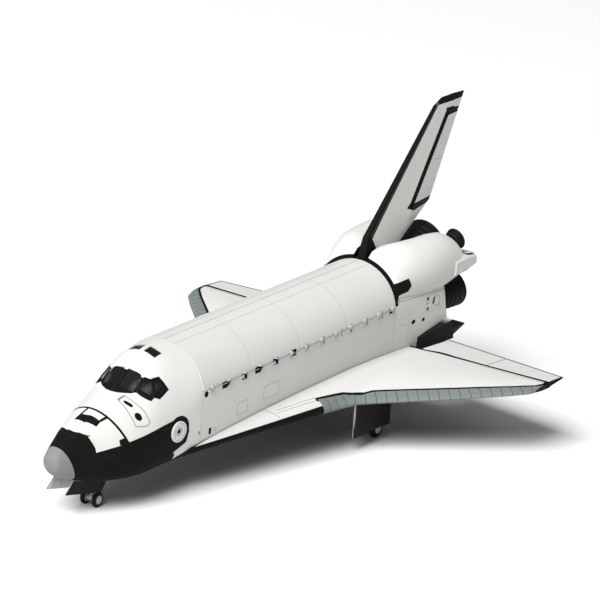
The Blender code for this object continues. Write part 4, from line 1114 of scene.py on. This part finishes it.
def bell_coat(name, gimbal, pitch, yaw):
    """Black with soot; the ribs repeat with the angle between the two axes square to the bell."""
    bell = Sheet(name + "_paint")
    local = bell.vector("SUBTRACT", bell.place, tuple(gimbal))
    square = engine_axes(pitch, yaw)[1:]
    across, over = (Field(bell, bell.vector("DOT_PRODUCT", local, tuple(axis), out=1)) for axis in square)
    ribs = inside(repeat(across.math("ARCTAN2", over), 2 * math.pi / RIBS, 0.02), 0.05)
    soot = [(bell.noise(5.0, 3.0) * 0.5, (0.011, 0.0105, 0.010))]
    return coat(bell, (0.006, 0.006, 0.006), soot, grooves=ribs, gloss=0.45, shine=0.10)


BELL_PAINT = {name: bell_coat(name, *row) for name, row in ENGINES.items()}
for name, paint in BELL_PAINT.items():
    wear_coat([name], paint)

# %% [markdown]
# Heat shield and body flap
#
# Both are black. The shield round the engines is quilted in squares, and the flap is tiled all over and
# dusty from use. The seams are a fifth of a millimetre wide, so a line in the colour and the bump is
# enough.

# %% Shield and flap paint
shield = Sheet("shield_paint")
quilting = union(repeat(shield.z, 3.4, 0.2), repeat(shield.y, 3.4, 0.2))
seams = [(inside(quilting), (0.03, 0.03, 0.03))]
SHIELD_PAINT = coat(shield, BLACK, seams, grooves=inside(quilting, 0.3), gloss=0.5)
wear_coat(["base_heat_shield"], SHIELD_PAINT)
flap = Sheet("flap_paint")
wear_coat(["body_flap"], coat(flap, BLACK, [(flap.noise(5.0) * 0.3, (0.022, 0.022, 0.02))], tiles=1.0))

# %% [markdown]
# Bell jackets
#
# A real bell is a cone of brazed tubes held by steel hoops. Separate rings could be slid over the solid
# bell, but one turned jacket does both: its radius follows the bell's own curve and swells at each hoop, so
# it sits on the wall without a gap. It closes inside the wall, where it isn't seen.

# %% Jackets with hoops
# How high a hoop stands, half its width as a share of the bell's length, and where the hoops sit along it.
HOOP_HEIGHT, HOOP_SHARE = 0.42, 0.014
MAIN_HOOPS, POD_HOOPS = (0.13, 0.3, 0.46, 0.62, 0.78, 0.985), (0.3, 0.62, 0.96)


def round_engine(engine, ending, profile, paint, sides):
    """Turns a profile about an engine's own axis, and rides on the airframe."""
    gimbal, pitch, yaw = ENGINES[engine]
    turned(engine + ending, gimbal, engine_axes(pitch, yaw)[0], profile, paint, "airframe", sides, True)


def bell_jacket(engine, start, end, narrow, wide, hoops, sides):
    """Radius grows as the share of the length to the power 0.62, with a bell-shaped swelling at each hoop."""
    share = np.linspace(0, 1, 110)
    radius = narrow + (wide - narrow) * share**0.62
    swell = HOOP_HEIGHT * np.exp(-(((share[:, None] - np.array(hoops)) / HOOP_SHARE) ** 2)).sum(axis=1)
    along = start + 0.05 + share * (end - start)
    outside = np.stack([along, radius + 0.08 + swell], -1)
    within = np.stack([along, radius - 0.3], -1)[::-1]
    round_engine(engine, "_jacket", np.concatenate([outside, within]), BELL_PAINT[engine], sides)


for engine, start in (("main_engine_upper", 16.3), ("main_engine_left", 18.2), ("main_engine_right", 18.2)):
    bell_jacket(engine, start, 39.9, 6.2, 11.9, MAIN_HOOPS, 96)
for engine in both_sides("oms_engine"):
    bell_jacket(engine, 14.4, 19.0, 4.4, 6.1, POD_HOOPS, 72)
print("jackets on", len(ENGINES), "bells")

# %% [markdown]
# Domes round the main engines
#
# Behind each bell the heat shield swells into a dome that lets the engine swivel. A stretched sphere would
# have to be cut open for the bell. A lathe profile makes the whole dome: up the outside, over the lip and
# back down inside.

# %% Engine domes
# Each point: distance aft of the dome's foot, and share of its radius.
DOME_OUTSIDE = [(-0.8, 1.0), (0.2, 1.0), (1.0, 0.975), (1.7, 0.92), (2.2, 0.85), (2.5, 0.77)]
DOME_INSIDE = [(2.4, 0.72), (-0.8, 0.71)]


def engine_dome(engine, foot, radius):
    """The dome's profile, moved to its foot and scaled to its radius."""
    profile = [(foot + along, radius * share) for along, share in DOME_OUTSIDE + DOME_INSIDE]
    round_engine(engine, "_dome", profile, SHIELD_PAINT, 96)


engine_dome("main_engine_upper", 15.7, 10.0)
engine_dome("main_engine_left", 17.1, 10.6)
engine_dome("main_engine_right", 17.1, 10.6)
print("domes:", len(DOME_OUTSIDE + DOME_INSIDE), "rings each")

# %% [markdown]
# Paints for small fittings
#
# Metal that has been hot is almost black, and primed fittings are a light grey. Both need a fine mottled
# tone, or they would look like flat dots at this size.

# %% Nozzle metal and primer
metal = Sheet("thruster_metal")
heat = [(metal.noise(1.2, 3.0) * 0.5, (0.018, 0.017, 0.016))]
RIM_METAL = coat(metal, (0.011, 0.011, 0.012), heat, gloss=0.5, shine=0.12)
primer = Sheet("coupling_grey")
grain = [(primer.noise(0.8, 2.0) * 0.4, (0.27, 0.27, 0.26))]
RIM_GREY = coat(primer, (0.33, 0.33, 0.32), grain, gloss=0.4)
print("paints:", RIM_METAL.name, RIM_GREY.name)

# %% [markdown]
# Thruster nozzles, couplings and the hatch rim
#
# The small round mouldings are all the same shape at different sizes: a rounded ring that stands a little
# proud of the skin. Each is given by its centre, the direction it faces, its radius and its thickness. They
# come in pairs, port and starboard, except the middle ones and the hatch, which is on the port side only.

# %% Rings
SIDES = (("left", 1), ("right", -1))


def mirrored(place, sign):
    """The same place or direction on the port side (1) or the starboard side (-1)."""
    return place[0], sign * place[1], place[2]


def ring(name, centre, facing, radius, thick, paint):
    """A round section of the given thickness carried round a circle: a torus half sunk in the skin."""
    turn = np.linspace(0, 2 * np.pi, 10, endpoint=False)
    profile = np.stack([thick * np.sin(turn), radius + thick * np.cos(turn)], -1)
    turned(name, centre, facing, profile, paint, "airframe", 40, True)


def ring_pair(name, centre, facing, radius, thick, paint):
    """The same ring on both sides."""
    for side, sign in SIDES:
        ring(f"{name}_{side}", mirrored(centre, sign), mirrored(facing, sign), radius, thick, paint)


print("rings have 10 corners in section")

# %% Nozzles of the nose and the pods
SIDE_FACING = (-0.383, 0.922, 0.058)
AFT = (1.0, 0.0, 0.0)
ring("nose_thruster_middle", (8.4, 0.0, -4.17), (-0.42, 0.0, 0.9), 1.1, 0.22, RIM_METAL)
ring_pair("nose_thruster", (8.4, 3.7, -5.08), (-0.41, 0.44, 0.8), 1.1, 0.22, RIM_METAL)
ring_pair("side_thruster_front", (20.9, 16.2, -17.0), SIDE_FACING, 1.0, 0.2, RIM_METAL)
ring_pair("side_thruster_back", (24.1, 17.5, -17.0), SIDE_FACING, 1.0, 0.2, RIM_METAL)
ring("top_thruster_right", (20.0, -0.7, 0.82), (-0.37, 0.0, 0.92), 1.15, 0.2, RIM_METAL)
ring("top_thruster_middle", (20.5, 3.0, 0.62), (-0.37, 0.18, 0.9), 1.15, 0.2, RIM_METAL)
ring("top_thruster_left", (21.7, 6.3, -0.18), (-0.335, 0.42, 0.84), 1.15, 0.2, RIM_METAL)
ring_pair("pod_thruster_inner", (347.4, 24.6, 15.4), AFT, 1.5, 0.25, RIM_METAL)
ring_pair("pod_thruster_outer", (347.4, 29.6, 15.4), AFT, 1.5, 0.25, RIM_METAL)
print("14 nozzles")

# %% Fuel couplings and hatch rims
HATCH_FACING = (-0.085, 0.996, 0.017)
ring_pair("fuel_coupling_top", (304.3, 27.53, 0.4), (-0.036, 0.996, 0.086), 1.05, 0.16, RIM_GREY)
ring_pair("fuel_coupling_low", (304.7, 27.56, -5.6), (-0.037, 0.999, 0.0), 1.05, 0.16, RIM_GREY)
ring_pair("plate_ring", (313.6, 27.94, -2.6), (-0.046, 0.999, 0.0), 3.0, 0.16, RIM_GREY)
ring_pair("plate_drain", (316.0, 28.04, -5.6), (-0.046, 0.999, 0.0), 0.9, 0.14, RIM_GREY)
ring("hatch_rim", (68.3, 25.93, -14.1), HATCH_FACING, 4.75, 0.2, HATCH_PAINT)
ring("hatch_window_rim", (68.3, 25.95, -14.1), HATCH_FACING, 1.75, 0.2, RIM_GREY)
print("8 couplings and plate rings, 2 hatch rims")

# %% [markdown]
# Payload bay liner
#
# With the doors open the bay shows its half-round frames. Boxes would not follow the round wall, so the
# liner is one sheet over (station, angle) whose radius steps in at each frame. Two stations close together
# make each side of a frame.

# %% Bay liner and cable trays
BAY_RADIUS, FRAME_HEIGHT, TRAY_RADIUS = 22.5, 0.9, 21.2
FRAME_STATIONS = np.linspace(94.0, 264.0, 13)
bay = Sheet("bay_liner_grey")
reach = bay.math("ARCTAN2", bay.z, bay.y) * BAY_RADIUS
seams = union(repeat(bay.s, 6.9, 0.16), repeat(reach, 7.0, 0.16))
liner_layers = [(bay.noise(1.1, 3.0) * 0.3, (0.44, 0.44, 0.41)), (inside(seams), (0.30, 0.30, 0.28))]
LINER = coat(bay, (0.50, 0.50, 0.47), liner_layers, grooves=inside(seams, 0.4), gloss=0.6)


def bay_arc(stations, radius):
    """The trough's round wall: stations against angles from 181 to 359 degrees, a radius at each station."""
    s, a = np.meshgrid(stations, np.radians(np.linspace(181, 359, 61)), indexing="ij")
    r = np.broadcast_to(radius, len(stations))[:, None]
    return np.stack([s, r * np.cos(a), r * np.sin(a)], -1)


edges = FRAME_STATIONS[:, None] + np.array((-0.72, -0.68, 0.68, 0.72))
stations = np.concatenate([[87.4], edges.ravel(), [270.8]])
raised = np.concatenate([[0.0], np.tile((0.0, 1.0, 1.0, 0.0), len(FRAME_STATIONS)), [0.0]])
face, back = bay_arc(stations, BAY_RADIUS - FRAME_HEIGHT * raised), bay_arc(stations, BAY_RADIUS + 0.15)
slab("bay_liner", face, back, LINER, "airframe")
for label, angle in (("left", 338.0), ("right", 202.0)):
    turn = math.radians(angle)
    centre = (0.0, TRAY_RADIUS * math.cos(turn), TRAY_RADIUS * math.sin(turn))
    path = np.linspace(89.0, 269.0, 40)[:, None] * (1, 0, 0) + centre
    pipe("cable_tray_" + label, path, 0.7, RIM_GREY, "airframe", 10)
print("bay liner with", len(FRAME_STATIONS), "frames, 2 cable trays")

# %% [markdown]
# Radiators
#
# The doors carry four thin radiator panels each on their inside, which swing with them. Flat plates would
# stick out of the curved door, so each is a curved slab that follows the door's ellipse a little inside it.
# Its tubes run along the bay. A thin pin runs through the hinge eyes along each sill.

# %% Radiator panels and hinge pins
PANEL_ENDS = ((89.5, 129.0), (130.6, 174.5), (176.1, 220.2), (221.8, 269.0))
HALF_ACROSS, HALF_UP, THICKNESS = 25.1, 24.0, 0.55
foil = Sheet("radiator_foil")
tubes = repeat(foil.math("ARCTAN2", foil.z, foil.side) * HALF_UP, 1.2, 0.18)
foil_layers = [(inside(tubes), (0.26, 0.27, 0.28))]
FOIL = coat(foil, (0.42, 0.43, 0.44), foil_layers, grooves=inside(tubes, 0.3), gloss=0.24, shine=0.6)


def radiator(name, start, end, sign, body):
    """A panel between two ellipses, from 14 to 85 degrees."""
    s, a = np.meshgrid(np.linspace(start, end, 12), np.radians(np.linspace(14, 85, 24)), indexing="ij")
    inner, outer = (
        np.stack([s, sign * (HALF_ACROSS - sunk) * np.cos(a), (HALF_UP - sunk) * np.sin(a)], -1)
        for sunk in (THICKNESS, 0.0)
    )
    slab(name, inner, outer, FOIL, body)


for side, sign in SIDES:
    for number, (start, end) in enumerate(PANEL_ENDS, 1):
        radiator(f"radiator_{side}_{number}", start, end, sign, "bay_door_" + side)
    pin = [(s, sign * 27.45, 2.85) for s in np.linspace(91.5, 266.5, 24)]
    pipe("hinge_pin_" + side, pin, 0.22, RIM_GREY, "airframe", 8)
print("8 radiator panels, 2 hinge pins")

# %% [markdown]
# Gear leg fittings
#
# Each leg gets a thicker upper cylinder with collars, torque links that stop the wheels from turning, and a
# brake line. Simple tubes along a bent path make the links and the line, and the cylinder is a lathe
# profile. Bent tubes hold their round section better than a scaled box would.

# %% Leg fittings
chrome = Sheet("leg_cylinder_grey")
worn = [(chrome.noise(1.6, 3.0) * 0.5, (0.33, 0.34, 0.34))]
CYLINDER = coat(chrome, (0.40, 0.41, 0.41), worn, gloss=0.3, shine=0.45)
rubber = Sheet("brake_line_black")
LINE_PAINT = coat(rubber, (0.02, 0.02, 0.02), [(rubber.noise(1.0) * 0.4, (0.03, 0.03, 0.03))], gloss=0.5)


def leg_fittings(label, top, axle, radius):
    """Cylinder, torque links and brake line of one leg, in shares of its length and its strut's radius."""
    top, axle = np.array(top), np.array(axle)
    run = axle - top
    length = np.linalg.norm(run)
    collar, foot = length * 0.46, length * 0.5
    outline = [(0.6, 1.0), (0.6, 1.22), (collar, 1.22), (collar, 1.42), (collar + 0.4, 1.5)]
    outline += [(foot, 1.5), (foot + 0.3, 1.4), (foot + 0.3, 1.0)]
    profile = [(along, radius * share) for along, share in outline]
    turned("cylinder_" + label, top, run, profile, CYLINDER, "airframe", 28)
    high, low = top + run * 0.54, top + run * 0.93
    knee = (high + low) / 2 + np.array((radius * 2.6, 0.0, 0.0))
    for name, end in (("upper", high), ("lower", low)):
        path = end + (knee - end) * np.linspace(0, 1, 8)[:, None]
        thick = radius * np.linspace(0.34, 0.24, 8)
        pipe(f"torque_link_{name}_{label}", path, thick, CYLINDER, "airframe", 10)
    ahead = np.array((-radius * 1.35, 0.0, 0.0))
    path = curve(top + run * 0.08 + ahead, top + run * 0.5 + ahead * 1.5, low + ahead * 0.9, 24)
    pipe("brake_line_" + label, path, 0.2, LINE_PAINT, "airframe", 8)


leg_fittings("nose", (29.5, 0.0, -20.8), (30.6, 0.0, -46.46), 1.1)
for side, sign in SIDES:
    top, axle = mirrored((239.4, 34.2, -27.9), sign), mirrored((240.4, 34.2, -57.5), sign)
    leg_fittings("main_" + side, top, axle, 1.7)
print("cylinders, torque links and brake lines on 3 legs")

# %% [markdown]
# Links of the gear doors
#
# A rod from the leg pulls each gear door. A plain cylinder would be enough from afar. A real link is
# thicker in the middle, so the radius swells by half a sine along the rod.

# %% Door links


def door_link(name, start, end, radius):
    """A straight rod from the leg to the door it pulls, whose radius swells by half a sine in the middle."""
    t = np.linspace(0, 1, 9)
    path = np.array(start) + (np.array(end) - np.array(start)) * t[:, None]
    pipe(name, path, radius * (0.8 + 0.5 * np.sin(np.pi * t)), CYLINDER, "airframe", 10)


for side, sign in SIDES:
    nose_ends = mirrored((29.9, 0.9, -31.0), sign), mirrored((25.0, 5.5, -33.5), sign)
    main_ends = mirrored((239.9, 35.4, -41.0), sign), mirrored((231.0, 45.0, -44.0), sign)
    door_link("nose_door_link_" + side, *nose_ends, 0.32)
    door_link("main_door_link_" + side, *main_ends, 0.45)
print("4 door links")

# %% [markdown]
# Hubs
#
# The wheel's moulding has a flat hub. A disc over it adds the cap and six bolt heads, and turns with the
# wheel. They could be seven pieces, but the height over the face is one formula of radius and angle, so one
# skin holds them all.

# %% Hub discs
# The cap, the circle of bolts and one bolt, as shares of the disc's radius.
CAP_RADIUS, BOLT_CIRCLE, BOLT_RADIUS, BOLTS = 0.34, 0.62, 0.075, 6


def hub_disc(name, axle, out, reach, radius, body):
    """Rings of growing radius, whose height is a dome near the middle plus a round bump at each bolt."""
    turn = np.linspace(0, 2 * np.pi, 72, endpoint=False)
    r, a = np.meshgrid(np.linspace(0.06, 1.0, 26), turn, indexing="ij")
    dome = 0.30 * np.clip(1 - (r / CAP_RADIUS) ** 2, 0, 1) ** 0.5
    around = np.sin(BOLTS / 2 * a) * BOLT_CIRCLE / (BOLTS / 2)
    bolt = 0.16 * np.exp(-(((r - BOLT_CIRCLE) / BOLT_RADIUS) ** 2) - (around / BOLT_RADIUS) ** 2)
    height = (dome + bolt + 0.04 + 0.08 * (r > 0.88)) * radius
    s, z = axle[0] + radius * r * np.cos(a), axle[1] + radius * r * np.sin(a)
    face = np.stack([s, out * (reach + height), z], -1)
    back = face[-1:] * (1, 0, 1) + (0, out * (reach - 0.25), 0)
    skin(name, np.concatenate([face, back]), HUB_PAINT, body)


for side, sign in SIDES:
    hub_disc("nose_hub_" + side, NOSE_AXLE, sign, 4.38, 2.0, "nose_wheels")
for side, sign in SIDES:
    hub_disc("main_hub_outer_" + side, MAIN_AXLE, sign, 39.4, 2.8, "main_wheels_" + side)
    hub_disc("main_hub_inner_" + side, MAIN_AXLE, sign, 29.0, 2.8, "main_wheels_" + side)
print("6 hubs with", BOLTS, "bolts each")

# %% [markdown]
# Rudder seals
#
# The rudder has to clear the fin above and below, and daylight would show through the gaps. On a kit a thin
# black seal lies along each end. It is a flat plate as wide as the fin at every station. The rudder turns
# about a slanted hinge and its round nose dips a little, so the lower plate is thinner there and leaves it
# free.

# %% Seals above and below the rudder
# How far a seal's top rises for each millimetre aft, until it reaches its full height.
RISE = 0.075


def rudder_seal(name, low, high, at_hinge, front, back, half):
    """A grid over station and width: it narrows evenly towards the trailing edge, and its top rises."""
    s, v = np.meshgrid(np.linspace(front, back, 16), np.linspace(-1, 1, 5), indexing="ij")
    y = v * (half + (0.3 - half) * (s - front) / (back - front))
    top = np.minimum(high, at_hinge + RISE * (s - front))
    slab(name, np.stack([s, y, top], -1), np.stack([s, y, 0 * s + low], -1), LINE_PAINT, "airframe")


rudder_seal("rudder_seal_low", 46.02, 47.05, 46.38, 320.3, 342.5, 2.8)
rudder_seal("rudder_seal_top", 96.05, 96.65, 96.65, 355.0, 367.2, 1.5)
print("2 rudder seals")

# %% [markdown]
# Finishing
#
